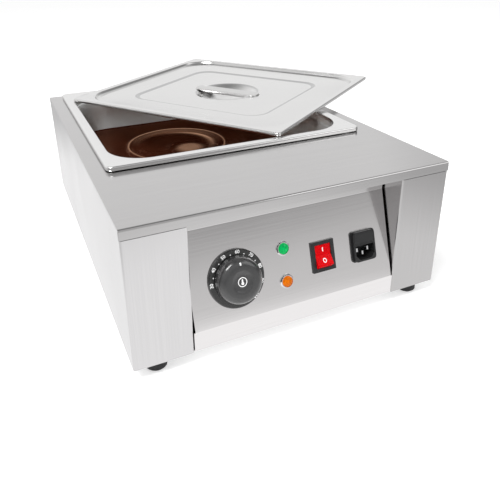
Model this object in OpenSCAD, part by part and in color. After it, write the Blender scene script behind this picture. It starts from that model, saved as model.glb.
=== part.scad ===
// Electric chocolate melting pot: a stainless water-bath warmer with a lift-out food pan,
// a loose lid, a sloped control panel between two front wings and four rubber feet.
// Millimetres. Z is up, the front faces -Y, and the origin is the middle of the footprint
// on the plane under the feet.

/* [Housing] */
// Width of the deck on each side of the pan
deck_side = 20.5; // [17:0.5:50]
// Depth of the deck behind the pan
deck_back = 12.5; // [8:0.5:60]
// Room for the floor, its vents and the air under the insulated tank
under_tank = 26; // [22:1:60]
// Thickness of the stainless sheet
sheet = 1; // [0.8:0.1:1.2]
// Inside radius of each bend
bend_r = 1.2; // [0.8:0.1:2]
// Height of the folded lip at the front of the deck
lip_h = 10.7; // [8:0.1:14]
// Depth of the returns that close the sides of the recess
return_d = 40; // [36:1:60]
// Width of the hidden flanges
flange_w = 12; // [8:1:13]

/* [Control panel] */
// Height of the upright strip under the sloped panel
strip_h = 23.5; // [20:0.5:28]
// How far the top of the sloped panel stands back
panel_recess = 30; // [24:1:34]
// Height of the upstand between the top of the slope and the deck
upstand_h = 32; // [28:1:40]
// Panel that is left beside the mains inlet
panel_side = 19.5; // [17:0.5:40]
// Gap between the sloped panel and each side of the recess
panel_gap = 1.6; // [0.5:0.1:2.5]
// Place of the dial across the housing, from its middle
dial_x = -69; // [-72:1:-66]
// Place of the dial up the slope
dial_s = 44; // [42:0.5:50]
// Place of the two pilot lamps across the housing
lamp_x = -13.5; // [-16:0.5:-6]
// Place of the upper lamp up the slope
upper_lamp_s = 62.5; // [58:0.5:70]
// Place of the lower lamp up the slope
lower_lamp_s = 27; // [20:0.5:34]
// Place of the rocker switch across the housing
switch_x = 33; // [28:0.5:38]
// Place of the mains inlet across the housing
inlet_x = 85; // [80:0.5:92]
// Place of the switch and the inlet up the slope
socket_s = 43.8; // [40:0.2:50]

/* [Dial and knob] */
// Radius of the fixed dial ring
dial_r = 30.5; // [28:0.5:34]
// Thickness of the dial ring
dial_t = 3; // [2:0.5:4]
// Radius of the knob at its base
knob_r = 24.5; // [22:0.5:26]
// Height of the knob
knob_h = 14; // [12:0.5:22]
// Diameter of the thermostat's shaft
shaft_d = 6; // [5:0.5:7]

/* [Pan] */
// Width of the pan over its rim
pan_w = 325; // [300:1:330]
// Length of the pan over its rim
pan_l = 354; // [330:1:356]
// Depth of the pan from the top of its rim
pan_depth = 100; // [80:1:110]
// Thickness of the pan's sheet
pan_sheet = 0.8; // [0.6:0.1:1]
// Width of the pan's rim
rim_w = 12.5; // [11:0.5:14]
// Height of the rim's turned-down edge
rim_h = 6; // [4:0.5:8]
// Corner radius of the pan's opening
pan_corner_r = 45; // [40:1:55]
// Corner radius of the rim's outer edge
rim_corner_r = 8; // [5:1:12]
// How much each wall leans in from top to floor
pan_draft = 10; // [6:0.5:12]
// Distance from the housing's front to the pan's rim
pan_front = 131.5; // [128:0.5:140]
// How far the loose pan sits to the left of the middle
pan_shift = 3; // [0:0.5:3]
// Depth of the melted chocolate in the pan
chocolate_h = 37; // [20:1:60]

/* [Lid] */
// Height of the lid's turned-down skirt
lid_skirt = 4.5; // [3:0.5:6]
// Width of the lid's flat border
lid_border = 11; // [10:0.5:12]
// Width of the lid's gentle slope inside its border
lid_slope_w = 54; // [40:1:60]
// Drop of the step that centres the lid in the pan
lid_step = 5; // [3:0.5:7]
// Further drop from the step to the flat middle
lid_fall = 2; // [1:0.5:3]
// Radius of the handle dish
dish_r = 50; // [44:1:54]
// Depth of the handle dish
dish_depth = 14; // [10:1:18]
// Width of the lid's handle strap
strap_w = 24; // [18:1:28]
// Turn of the lid as it lies across the pan, in degrees
lid_turn = -55; // [-60:1:-50]
// Lean of the lid as it lies across the pan, in degrees
lid_lean = 1.2; // [0:0.1:2]
// Place of the lid's middle to the right of the housing's middle
lid_x = 78.5; // [70:1:90]
// Place of the lid's middle behind the housing's middle
lid_y = 129.5; // [120:1:140]
// Corner radius of the lid
lid_corner_r = 5; // [3:1:10]

/* [Water bath] */
// Room around the pan in the tank
tank_gap = 4; // [3.5:0.1:5]
// Room for water and the element under the pan
water_h = 22; // [20:1:40]
// Inside corner radius of the tank
tank_corner_r = 30; // [20:1:40]
// Thickness of the insulation round the tank
wool_t = 10; // [6:1:12]
// Diameter of the tubular heating element
element_d = 8; // [6.5:0.5:9]
// Distance between the element's straight runs
element_pitch = 60; // [50:1:64]

/* [Feet] */
// Height of the feet under the housing's bottom edge
foot_h = 13; // [8:1:20]
// Radius of each foot
foot_r = 11; // [9:0.5:13]
// Distance of each foot from the housing's side
foot_inset_x = 26; // [26:1:36]
// Distance of each foot from the housing's front or back
foot_inset_y = 15; // [15:1:36]

/* [Hidden] */
$fn = 64;
// Facets of the rounded corners inside a hull
hull_fn = 32;
// Facets round the ball that forms the lid's dish
ball_fn = 128;
// Overrun of every cut
over = 0.5;
// Height of a slab inside a hull
slab = 0.02;
// Gap between sheets that meet edge to edge
seam = 0.5;
// Gap between pieces that slide into each other
fit = 0.3;
// Radial gap of a shaft or a pin in its bore
run_gap = 0.05;
// Steps of each bend
bend_steps = 4;

body_w = pan_w + 2 * deck_side;
body_d = pan_front + pan_l + deck_back;
tank_depth = pan_depth - rim_h + water_h;
body_h = tank_depth + sheet + wool_t + under_tank;
panel_top = body_h - upstand_h;
top_z = foot_h + body_h;
half_w = body_w / 2;
half_d = body_d / 2;
floor_z = foot_h + 2 * sheet;
wing_top = top_z - lip_h - seam;

// The slope of the control panel
slope = atan(panel_recess / (panel_top - strip_h));

// The pan and the tank round it
pan_y = -half_d + pan_front + pan_l / 2;
pan_x = -pan_shift;
pan_top = top_z + rim_h;
open_w = pan_w - 2 * rim_w;
open_l = pan_l - 2 * rim_w;
tank_w = open_w + 2 * pan_sheet + 2 * tank_gap;
tank_l = open_l + 2 * pan_sheet + 2 * tank_gap;
tank_floor = top_z - tank_depth;
tank_front = pan_y - tank_l / 2;
lid_z = lid_step + lid_fall + pan_sheet + fit;
pan_floor_r = 16;
floor_steps = 3;
strap_t = 1.5;
strap_tab = 7;
strap_fold = 3;
strap_short = 10;
swirl_h = 2.2;
swirl_pitch = 49;
swirl_steps = 40;

// The element in the tank
element_z = tank_floor + (tank_depth + rim_h - pan_depth) / 2;
element_leg = 1.5 * element_pitch;
element_bend = element_pitch / 2;
element_margin = 36;
element_tail = 24;
gland_wall = 2;
gland_collar = 3;
gland_grip = 5;
gland_neck_r = element_d / 2 + gland_wall;
gland_head_r = gland_neck_r + gland_collar;
gland_head_t = 3;
gland_nut_af = 2 * gland_neck_r + gland_grip;
gland_nut_t = 6;
gland_tail = 4;
gland_neck_l = gland_nut_t + gland_tail;
bead_inset = 0.6;
bead_r = element_d / 2 - bead_inset;
bead_l = 6;
tab_w = 6.3;
tab_t = 0.8;
tab_l = 8;

// The thermostat behind the dial
stat_w = 36;
stat_h = 40;
stat_d = 24;
stat_bush_r = 5;
shaft_out = 12;
shaft_in = 14;
bush_gap = 0.4;
shaft_hole_r = stat_bush_r + bush_gap;
bulb_r = 3;
bulb_l = 80;
bulb_x = 0;
capillary_r = 1;
capillary_reach = 22;
clip_w = 12;
clip_t = 1;
clip_tab = 8;

// The dial ring and the knob
knob_gap = 0.6;
knob_wall = 2;
knob_face_t = 2.4;
knob_round = 3;
knob_taper = 1;
knob_dish_r = 10;
knob_dish_h = 1;
hub_r = 6;
dial_hole_r = 9;
dial_bevel = 1;
pointer_w = 1.6;
pointer_l = 5;
pointer_h = 0.3;

// The pilot lamps
lens_r = 5.9;
lens_dome = 2.2;
bezel_wall = 1.7;
bezel_h = 2.4;
sleeve_r = 5;
sleeve_wall = 1;
sleeve_l = 20;
lamp_nut_af = 14;
lamp_nut_t = 3;
lamp_stem_r = sleeve_r - sleeve_wall - fit;

// The rocker switch
bezel_w = 28;
bezel_l = 33.6;
bezel_t = 2;
switch_w = 24;
switch_l = 31;
switch_d = 24;
rocker_w = 19;
rocker_half = 11.5;
rocker_end = 4;
rocker_mid = 1.2;
rocker_tilt = 12;
rocker_back = 6;
rocker_back_angle = 20;
pivot_depth = 4;
pivot_r = 1.25;
pivot_l = 1.6;
rocker_r = norm([rocker_half, pivot_depth + rocker_end]);
well_w = rocker_w + 2 * fit;
blade_w = 4.8;

// The mains inlet with its fuse drawer
inlet_flange_w = 32;
inlet_flange_l = 34.6;
inlet_flange_t = 1.2;
inlet_w = 27.8;
inlet_l = 33.6;
inlet_out = 4.6;
inlet_corner_r = 3.6;
inlet_body_w = 27;
inlet_body_l = 32;
inlet_body_d = 26;
cavity_w = 24.4;
cavity_l = 16.2;
cavity_d = 18;
cavity_key = 5;
cavity_low = -14.8;
pin_w = 2;
pin_l = 4;
pin_pitch = 14;
pin_drop = 4;
pin_recess = 6;
drawer_w = 23;
drawer_l = 11;
drawer_d = 26;
drawer_z = 9.4;
drawer_face_w = 25;
drawer_face_l = 12.4;
drawer_face_t = 1.6;
fuse_r = 2.5;
fuse_l = 20;

// The panel reaches as far past the inlet as panel_side says, and the wings take the rest
panel_w = 2 * (inlet_x + inlet_flange_w / 2 + panel_side);
wing_w = (body_w - panel_w) / 2 - seam;

// Vents in the back and in the base
vent_w = 3;
vent_l = 36;
vent_pitch = 9;
vent_rows = 9;
vent_z_share = 0.5;
base_vent_l = 60;
base_vent_rows = 12;

// Small fixings
screw_r = 2;
screw_head_r = 3.8;
screw_head_t = 2.4;
screw_gap = 0.25;
nut_af = 7;
nut_t = 3.2;
foot_taper = 2;
foot_recess_h = 7;
case_screw_l = 4;
case_screw_z_shares = [0.2, 0.8];

// The terminal block and the wires
block_w = 46;
block_d = 20;
block_h = 16;
block_ways = 4;
block_x = 20;
block_back = 92;
block_y = -half_d + block_back;
block_screw_r = 2.2;
wire_r = 1.3;
wire_bend = 6;
wire_sides = 10;
wire_twist = [0.48, 0.36, 0.8];

// Outlines of folded sheet. A path of corner points is bent at each inner corner and given
// the sheet's thickness on its left side.
function unit(v) = v / norm(v);
function left_of(v) = [-v[1], v[0]];
function turns_left(a, b, c) = left_of(b - a) * (c - b) > 0;
function bend(a, b, c, r) =
    let (
        u = unit(a - b),
        v = unit(c - b),
        half = acos(u * v) / 2,
        centre = b + unit(u + v) * r / sin(half),
        start = b + u * r / tan(half) - centre,
        sweep = (180 - 2 * half) * (turns_left(a, b, c) ? 1 : -1)
    )
    [for (i = [0 : bend_steps])
        let (t = sweep * i / bend_steps)
        centre + [start[0] * cos(t) - start[1] * sin(t), start[0] * sin(t) + start[1] * cos(t)]];
function bent(pts, r_left, r_right) = [
    pts[0],
    for (i = [1 : len(pts) - 2])
        each bend(pts[i - 1], pts[i], pts[i + 1],
            turns_left(pts[i - 1], pts[i], pts[i + 1]) ? r_left : r_right),
    pts[len(pts) - 1]
];
function shifted(pts, t) = [
    for (i = [0 : len(pts) - 1])
        let (
            a = left_of(unit(i > 0 ? pts[i] - pts[i - 1] : pts[1] - pts[0])),
            b = left_of(unit(i < len(pts) - 1 ? pts[i + 1] - pts[i] : pts[i] - pts[i - 1]))
        )
        pts[i] + t * (a + b) / (1 + a * b)
];
function reversed(pts) = [for (i = [len(pts) - 1 : -1 : 0]) pts[i]];

module folded(pts, r = bend_r) {
    polygon(concat(
        bent(pts, r + sheet, r),
        reversed(bent(shifted(pts, sheet), r, r + sheet))
    ));
}

// A YZ outline carried along X, and an XZ outline carried along Y
module along_x(length) {
    rotate([90, 0, 90]) linear_extrude(length) children();
}

module along_y(length) {
    translate([0, length, 0]) rotate([90, 0, 0]) linear_extrude(length) children();
}

// Rounded rectangle about its middle
module round_rect(w, l, r) {
    square([w - 2 * r, l], center = true);
    square([w, l - 2 * r], center = true);
    for (x = [-1, 1], y = [-1, 1]) {
        translate([x * (w / 2 - r), y * (l / 2 - r)]) circle(r);
    }
}

module round_slab(w, l, r, h = slab) {
    linear_extrude(h) round_rect(w, l, r, $fn = hull_fn);
}

module mirrored_x() {
    children();
    mirror([1, 0, 0]) children();
}

// Puts a piece on the sloped panel. Its own -Y faces out of the panel and its own Z runs up it
module on_panel(x, s) {
    translate([x, -half_d, foot_h + strip_h]) rotate([-slope, 0, 0]) translate([0, 0, s]) children();
}

module outward(length, r) {
    rotate([90, 0, 0]) cylinder(h = length, r = r);
}

module inward(length, r) {
    rotate([-90, 0, 0]) cylinder(h = length, r = r);
}

module hex(af, h) {
    cylinder(h = h, r = af / 2 / cos(180 / 6), $fn = 6);
}

// Folded outer shell

// One side: wall, front wing with its return, back flange, and flanges at top and bottom
module side_panel() {
    back_y = half_d - sheet;
    inner = sheet + bend_r + fit;
    difference() {
        union() {
            translate([0, 0, foot_h]) linear_extrude(wing_top - foot_h) folded([
                [-half_w + flange_w, back_y],
                [-half_w, back_y],
                [-half_w, -half_d],
                [-half_w + wing_w, -half_d],
                [-half_w + wing_w, -half_d + return_d]
            ]);
            translate([0, -half_d + inner, 0]) along_y(body_d - 2 * inner) folded([
                [-half_w + flange_w, top_z - sheet],
                [-half_w, top_z - sheet],
                [-half_w, foot_h],
                [-half_w + flange_w, foot_h]
            ]);
        }
        // the return stands clear of the base plate
        translate([-half_w + flange_w, -half_d + sheet, foot_h - over]) {
            cube([wing_w, return_d, 2 * sheet + seam + over]);
        }
        back_screw_places() inward(2 * sheet + over, screw_r);
    }
}

module left_side_panel() color("gainsboro") side_panel();

module right_side_panel() color("silver") mirror([1, 0, 0]) side_panel();

// The deck with its front lip, its back fold and the opening for the pan
module top_deck() {
    color("silver") difference() {
        translate([-half_w, 0, 0]) along_x(body_w) folded([
            [half_d, top_z - lip_h],
            [half_d, top_z],
            [-half_d, top_z],
            [-half_d, top_z - lip_h]
        ]);
        translate([0, pan_y, top_z - sheet - over]) {
            linear_extrude(sheet + 2 * over) round_rect(tank_w, tank_l, tank_corner_r);
        }
    }
}

module vent(length, depth) {
    translate([-length / 2 + vent_w / 2, 0, 0]) {
        cube([length - vent_w, depth, vent_w], center = false);
    }
    for (x = [-1, 1]) {
        translate([x * (length - vent_w) / 2, 0, vent_w / 2]) inward(depth, vent_w / 2);
    }
}

module back_panel() {
    color("silver") difference() {
        translate([-half_w, half_d - sheet, foot_h]) cube([body_w, sheet, wing_top - foot_h]);
        for (i = [0 : vent_rows - 1], x = [-1, 1]) {
            translate([
                x * vent_l,
                half_d - sheet - over,
                foot_h + body_h * vent_z_share + (i - (vent_rows - 1) / 2) * vent_pitch
            ]) vent(vent_l, sheet + 2 * over);
        }
        back_screw_places() inward(2 * sheet + over, screw_r);
    }
}

module back_screw_places() {
    for (x = [-1, 1], share = case_screw_z_shares) {
        translate([x * (half_w - flange_w / 2), half_d - 2 * sheet - over / 2, foot_h + body_h * share]) {
            children();
        }
    }
}

module base_plate() {
    inner = sheet + bend_r + fit;
    plate_w = body_w - 2 * inner;
    plate_l = body_d - 2 * inner;
    color("silver") difference() {
        translate([-plate_w / 2, -plate_l / 2, foot_h + sheet]) cube([plate_w, plate_l, sheet]);
        for (i = [0 : base_vent_rows - 1]) {
            translate([0, pan_y + (i - (base_vent_rows - 1) / 2) * 2 * vent_pitch, foot_h + sheet - over]) {
                linear_extrude(sheet + 2 * over) round_rect(base_vent_l, vent_w, vent_w / 2 - slab);
            }
        }
        foot_places() translate([0, 0, foot_h + sheet - over]) cylinder(h = sheet + 2 * over, r = screw_r + screw_gap);
    }
}

// The front sheet: bottom flange, upright strip, slope, upstand and top flange
module control_panel() {
    strip_z = foot_h + strip_h;
    slope_top = foot_h + panel_top;
    back = -half_d + panel_recess;
    color("silver") difference() {
        translate([-panel_w / 2, 0, 0]) along_x(panel_w) folded([
            [back + flange_w, top_z - sheet],
            [back, top_z - sheet],
            [back, slope_top],
            [-half_d, strip_z],
            [-half_d, foot_h],
            [-half_d + flange_w, foot_h]
        ]);
        for (x = [-1, 1]) {
            translate([x * panel_w / 2 - panel_gap, -half_d - over, strip_z]) {
                cube([2 * panel_gap, panel_recess + flange_w + 2 * over, body_h]);
            }
        }
        on_panel(dial_x, dial_s) translate([0, -over, 0]) inward(sheet + 2 * over, shaft_hole_r);
        for (s = [upper_lamp_s, lower_lamp_s]) {
            on_panel(lamp_x, s) translate([0, -over, 0]) inward(sheet + 2 * over, sleeve_r + screw_gap);
        }
        on_panel(switch_x, socket_s) {
            translate([-switch_w / 2 - screw_gap, -over, -switch_l / 2 - screw_gap]) {
                cube([switch_w + 2 * screw_gap, sheet + 2 * over, switch_l + 2 * screw_gap]);
            }
        }
        on_panel(inlet_x, socket_s) {
            translate([-inlet_body_w / 2 - screw_gap, -over, -inlet_body_l / 2 - screw_gap]) {
                cube([inlet_body_w + 2 * screw_gap, sheet + 2 * over, inlet_body_l + 2 * screw_gap]);
            }
        }
    }
}

// Water bath

module element_places() {
    for (x = [-1, 1]) {
        translate([x * element_leg, tank_front, element_z]) children();
    }
}

// The tank hangs from a flange under the deck
module water_tank() {
    wall_top = top_z - sheet;
    color("lightgray") difference() {
        translate([0, pan_y, 0]) {
            difference() {
                union() {
                    translate([0, 0, tank_floor - sheet]) linear_extrude(wall_top - tank_floor + sheet) {
                        round_rect(tank_w + 2 * sheet, tank_l + 2 * sheet, tank_corner_r + sheet);
                    }
                    translate([0, 0, wall_top - sheet]) linear_extrude(sheet) {
                        round_rect(tank_w + 2 * flange_w, tank_l + 2 * flange_w, tank_corner_r);
                    }
                }
                translate([0, 0, tank_floor]) linear_extrude(tank_depth) {
                    round_rect(tank_w, tank_l, tank_corner_r);
                }
            }
        }
        element_places() translate([0, over, 0]) outward(sheet + 2 * over, gland_neck_r + screw_gap);
    }
}

// Mineral wool under the tank, beside it and behind it; its front stays open for the glands
module insulation() {
    wool_top = top_z - 2 * sheet - fit;
    low = tank_floor - sheet - wool_t;
    color("khaki") difference() {
        translate([0, pan_y, low]) linear_extrude(wool_top - low) {
            round_rect(tank_w + 2 * (sheet + wool_t), tank_l + 2 * (sheet + wool_t), tank_corner_r);
        }
        translate([0, pan_y, tank_floor - sheet]) linear_extrude(tank_depth + over) {
            round_rect(tank_w + 2 * (sheet + fit), tank_l + 2 * (sheet + fit), tank_corner_r + sheet);
        }
        translate([-half_w, tank_front - sheet - wool_t - over, low - over]) {
            cube([body_w, wool_t + over + tank_corner_r, tank_depth + wool_t + sheet + 2 * over]);
        }
    }
}

// One tube in a flat M: two outer legs leave through the tank's front wall
module heating_element() {
    back_y = pan_y + tank_l / 2 - element_margin - element_bend;
    front_y = tank_front + element_margin + element_bend;
    color("dimgray") translate([0, 0, element_z]) {
        mirrored_x() {
            translate([element_leg, back_y, 0]) outward(back_y - tank_front + sheet + element_tail, element_d / 2);
            translate([element_bend, back_y, 0]) outward(back_y - front_y, element_d / 2);
            translate([element_pitch, back_y, 0]) rotate_extrude(angle = 180) {
                translate([element_bend, 0]) circle(element_d / 2);
            }
        }
        translate([0, front_y, 0]) rotate([0, 0, 180]) rotate_extrude(angle = 180) {
            translate([element_bend, 0]) circle(element_d / 2);
        }
    }
}

module element_glands() {
    color("goldenrod") element_places() difference() {
        union() {
            translate([0, gland_head_t, 0]) outward(gland_head_t, gland_head_r);
            outward(sheet + gland_neck_l, gland_neck_r);
        }
        translate([0, gland_head_t + over, 0]) {
            outward(gland_head_t + sheet + gland_neck_l + 2 * over, element_d / 2 + run_gap);
        }
    }
}

module element_nuts() {
    color("goldenrod") element_places() translate([0, -sheet, 0]) rotate([90, 0, 0]) difference() {
        hex(gland_nut_af, gland_nut_t);
        translate([0, 0, -over]) cylinder(h = gland_nut_t + 2 * over, r = gland_neck_r + run_gap);
    }
}

// Ceramic bead and spade tab at each end of the element
module element_terminals() {
    color("ivory") element_places() translate([0, -sheet - element_tail, 0]) {
        outward(bead_l, bead_r);
        translate([-tab_w / 2, -bead_l - tab_l, -tab_t / 2]) cube([tab_w, tab_l, tab_t]);
    }
}

// Thermostat

module thermostat_body() {
    color("tan") on_panel(dial_x, dial_s) difference() {
        union() {
            translate([-stat_w / 2, sheet, -stat_h / 2]) cube([stat_w, stat_d, stat_h]);
            translate([0, sheet, 0]) outward(sheet + shaft_out / 4, stat_bush_r);
        }
        translate([0, sheet + shaft_in, 0]) {
            outward(sheet + shaft_in + shaft_out, shaft_d / 2 + run_gap);
        }
    }
}

function panel_point(x, y, s) = [
    x,
    -half_d + y * cos(slope) + s * sin(slope),
    foot_h + strip_h - y * sin(slope) + s * cos(slope)
];

// A wire along a path of corner points, with a bend of radius turn at each inner one
function rounded_path(pts, turn) = [
    pts[0],
    for (i = [1 : len(pts) - 2])
        let (
            u = unit(pts[i - 1] - pts[i]),
            v = unit(pts[i + 1] - pts[i]),
            half = acos(u * v) / 2,
            centre = pts[i] + unit(u + v) * turn / sin(half),
            start = pts[i] + u * turn / tan(half) - centre
        )
        each [for (k = [0 : bend_steps])
            let (t = (180 - 2 * half) * k / bend_steps)
            centre + start * cos(t) - u * turn * sin(t)],
    pts[len(pts) - 1]
];

module tube(pts, r, turn) {
    path = rounded_path(pts, turn);
    last = len(path) - 1;
    sides = wire_sides;
    rings = [
        for (i = [0 : last])
            let (
                aim = unit(path[min(i + 1, last)] - path[max(i - 1, 0)]),
                across = unit(cross(aim, wire_twist)),
                up = cross(aim, across)
            )
            for (k = [0 : sides - 1])
                path[i] + r * (across * cos(360 * k / sides) + up * sin(360 * k / sides))
    ];
    polyhedron(rings, concat(
        [[for (k = [0 : sides - 1]) k]],
        [for (i = [0 : last - 1], k = [0 : sides - 1])
            let (next = (k + 1) % sides)
            [i * sides + next, i * sides + k, (i + 1) * sides + k, (i + 1) * sides + next]],
        [[for (k = [sides - 1 : -1 : 0]) last * sides + k]]
    ));
}

module thermostat_capillary() {
    start = panel_point(dial_x, sheet + stat_d, dial_s);
    bulb_y = tank_front - sheet - bulb_r - fit;
    bulb_end = bulb_x - bulb_l / 2;
    color("peru") {
        tube([
            start,
            start + capillary_reach * [0, cos(slope), -sin(slope)],
            [bulb_end - capillary_reach, bulb_y, element_z],
            [bulb_end + capillary_r, bulb_y, element_z]
        ], capillary_r, wire_bend);
        translate([bulb_end, bulb_y, element_z]) rotate([0, 90, 0]) cylinder(h = bulb_l, r = bulb_r);
    }
}

// A saddle clip that holds the bulb against the tank
module bulb_clip() {
    wall_y = tank_front - sheet;
    saddle_r = bulb_r + run_gap;
    color("silver") translate([bulb_x - clip_w / 2, wall_y - bulb_r - fit, element_z]) {
        difference() {
            union() {
                rotate([0, 90, 0]) cylinder(h = clip_w, r = saddle_r + clip_t);
                translate([0, 0, -saddle_r - clip_t]) cube([clip_w, bulb_r + fit, 2 * (saddle_r + clip_t)]);
                translate([0, bulb_r + fit - clip_t, -saddle_r - clip_tab]) {
                    cube([clip_w, clip_t, 2 * (saddle_r + clip_tab)]);
                }
            }
            translate([-over, 0, 0]) rotate([0, 90, 0]) cylinder(h = clip_w + 2 * over, r = saddle_r);
            translate([-over, 0, -saddle_r]) cube([clip_w + 2 * over, bulb_r + fit + over, 2 * saddle_r]);
            translate([-over, bulb_r + fit, -saddle_r - clip_tab - over]) {
                cube([clip_w + 2 * over, clip_t + over, 2 * (saddle_r + clip_tab + over)]);
            }
        }
    }
}

module dial_ring() {
    color("#202020") on_panel(dial_x, dial_s) rotate([90, 0, 0]) rotate_extrude() polygon([
        [dial_hole_r, 0],
        [dial_r, 0],
        [dial_r, dial_t - dial_bevel],
        [dial_r - dial_bevel, dial_t],
        [dial_hole_r, dial_t]
    ]);
}

// A hollow cap with a rounded edge, a dished middle, a hub and a raised pointer
module knob() {
    top_r = knob_r - knob_taper;
    base = dial_t + knob_gap;
    crown = base + knob_h;
    ceiling = crown - knob_face_t;
    color("#181818") on_panel(dial_x, dial_s) rotate([90, 0, 0]) difference() {
        union() {
            rotate_extrude() difference() {
                union() {
                    polygon([
                        [0, base],
                        [knob_r, base],
                        [top_r, crown - knob_round],
                        [top_r - knob_round, crown],
                        [0, crown]
                    ]);
                    intersection() {
                        translate([top_r - knob_round, crown - knob_round]) circle(knob_round);
                        translate([0, base]) square([knob_r, knob_h]);
                    }
                }
                polygon([
                    [hub_r, base - over],
                    [knob_r - knob_wall, base - over],
                    [top_r - knob_wall, ceiling - knob_wall],
                    [top_r - 2 * knob_wall, ceiling],
                    [hub_r, ceiling]
                ]);
                polygon([
                    [0, crown - knob_dish_h],
                    [knob_dish_r - knob_dish_h, crown - knob_dish_h],
                    [knob_dish_r, crown + slab],
                    [knob_dish_r, crown + over],
                    [0, crown + over]
                ]);
            }
            translate([-pointer_w / 2, top_r - knob_round - pointer_l, crown - slab]) {
                cube([pointer_w, pointer_l, pointer_h + slab]);
            }
        }
        translate([0, 0, base - over]) cylinder(h = shaft_out - base + over, r = shaft_d / 2 + slab);
    }
}

module knob_shaft() {
    color("silver") on_panel(dial_x, dial_s) translate([0, shaft_in + sheet - fit, 0]) {
        outward(shaft_in + sheet - fit + shaft_out - fit, shaft_d / 2);
    }
}

// Pilot lamps

module lamp_places() {
    on_panel(lamp_x, upper_lamp_s) children();
    on_panel(lamp_x, lower_lamp_s) children();
}

module lamp_bezels() {
    seat = bezel_h / 3;
    color("whitesmoke") lamp_places() rotate([90, 0, 0]) rotate_extrude() polygon([
        [sleeve_r - sleeve_wall, -sleeve_l],
        [sleeve_r, -sleeve_l],
        [sleeve_r, 0],
        [lens_r + bezel_wall, 0],
        [lens_r + bezel_wall, bezel_h / 2],
        [lens_r + bezel_wall / 2, bezel_h],
        [lens_r + fit, bezel_h],
        [lens_r + fit, seat],
        [sleeve_r - sleeve_wall, seat]
    ]);
}

module lamp_lens() {
    seat = bezel_h / 3;
    rise = seat + lens_dome;
    dome_r = (lens_r * lens_r + lens_dome * lens_dome) / 2 / lens_dome;
    rotate([90, 0, 0]) {
        translate([0, 0, -sleeve_l / 2]) cylinder(h = sleeve_l / 2 + seat, r = lamp_stem_r);
        intersection() {
            translate([0, 0, seat]) cylinder(h = lens_dome + bezel_h, r = lens_r);
            translate([0, 0, rise + bezel_h / 2 - dome_r]) sphere(dome_r);
        }
    }
}

module green_lens() color("#00c060") on_panel(lamp_x, upper_lamp_s) lamp_lens();

module orange_lens() color("#f08a18") on_panel(lamp_x, lower_lamp_s) lamp_lens();

module lamp_nuts() {
    color("silver") lamp_places() translate([0, sheet, 0]) rotate([-90, 0, 0]) difference() {
        hex(lamp_nut_af, lamp_nut_t);
        translate([0, 0, -over]) cylinder(h = lamp_nut_t + 2 * over, r = sleeve_r + run_gap);
    }
}

// Rocker switch

module switch_frame() {
    color("#1c1c1c") on_panel(switch_x, socket_s) difference() {
        union() {
            translate([-bezel_w / 2, -bezel_t, -bezel_l / 2]) cube([bezel_w, bezel_t, bezel_l]);
            translate([-switch_w / 2, -slab, -switch_l / 2]) cube([switch_w, switch_d + slab, switch_l]);
        }
        translate([-well_w / 2, pivot_depth, 0]) rotate([0, 90, 0]) cylinder(h = well_w, r = rocker_r + fit);
        translate([-rocker_w / 2 - pivot_l - run_gap, pivot_depth, 0]) rotate([0, 90, 0]) {
            cylinder(h = rocker_w + 2 * (pivot_l + run_gap), r = pivot_r + run_gap);
        }
    }
}

// The button's side outline about its pivot, level, before it is tilted. Its ends are arcs
// about the pivot, so they keep their distance from the frame as it tilts.
function rocker_outline() =
    let (
        a0 = atan2(pivot_depth + rocker_end, rocker_half),
        a1 = -rocker_back_angle,
        steps = 6,
        ends = [for (i = [0 : steps]) let (a = a0 + (a1 - a0) * i / steps) rocker_r * [cos(a), sin(a)]]
    )
    concat(
        [[0, pivot_depth + rocker_mid]],
        ends,
        [[0, -rocker_back]],
        reversed([for (p = ends) [-p[0], p[1]]])
    );

module rocker_button() {
    color("red") on_panel(switch_x, socket_s) translate([0, pivot_depth, 0]) rotate([-rocker_tilt, 0, 0]) {
        translate([-rocker_w / 2, 0, 0]) rotate([90, 0, 90]) linear_extrude(rocker_w) {
            polygon([for (p = rocker_outline()) [-p[1], p[0]]]);
        }
        translate([-rocker_w / 2 - pivot_l, 0, 0]) rotate([0, 90, 0]) cylinder(h = rocker_w + 2 * pivot_l, r = pivot_r);
    }
}

module switch_terminals() {
    color("goldenrod") on_panel(switch_x, socket_s) {
        for (x = [-1, 1], z = [-1, 1]) {
            translate([x * switch_w / 4 - tab_t / 2, switch_d, z * switch_l / 4 - blade_w / 2]) {
                cube([tab_t, tab_l, blade_w]);
            }
        }
    }
}

// Mains inlet

module inlet_outline() {
    r = inlet_corner_r;
    round_rect(inlet_w, inlet_l, r);
}

// The cavity is keyed: its two lower corners are cut off
module cavity_outline() {
    half = cavity_w / 2;
    polygon([
        [-half + cavity_key, cavity_low],
        [half - cavity_key, cavity_low],
        [half, cavity_low + cavity_key],
        [half, cavity_low + cavity_l],
        [-half, cavity_low + cavity_l],
        [-half, cavity_low + cavity_key]
    ]);
}

// Three flat blades that run right through the housing and end in its rear tabs
module pin_blades(gap) {
    mid = cavity_low + cavity_l / 2;
    for (p = [[-pin_pitch / 2, pin_drop / 2], [pin_pitch / 2, pin_drop / 2], [0, -pin_drop / 2]]) {
        translate([p[0] - pin_w / 2 - gap, pin_recess - inlet_out, mid + p[1] - pin_l / 2 - gap]) {
            cube([pin_w + 2 * gap, inlet_body_d + tab_l - pin_recess + inlet_out, pin_l + 2 * gap]);
        }
    }
}

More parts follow.
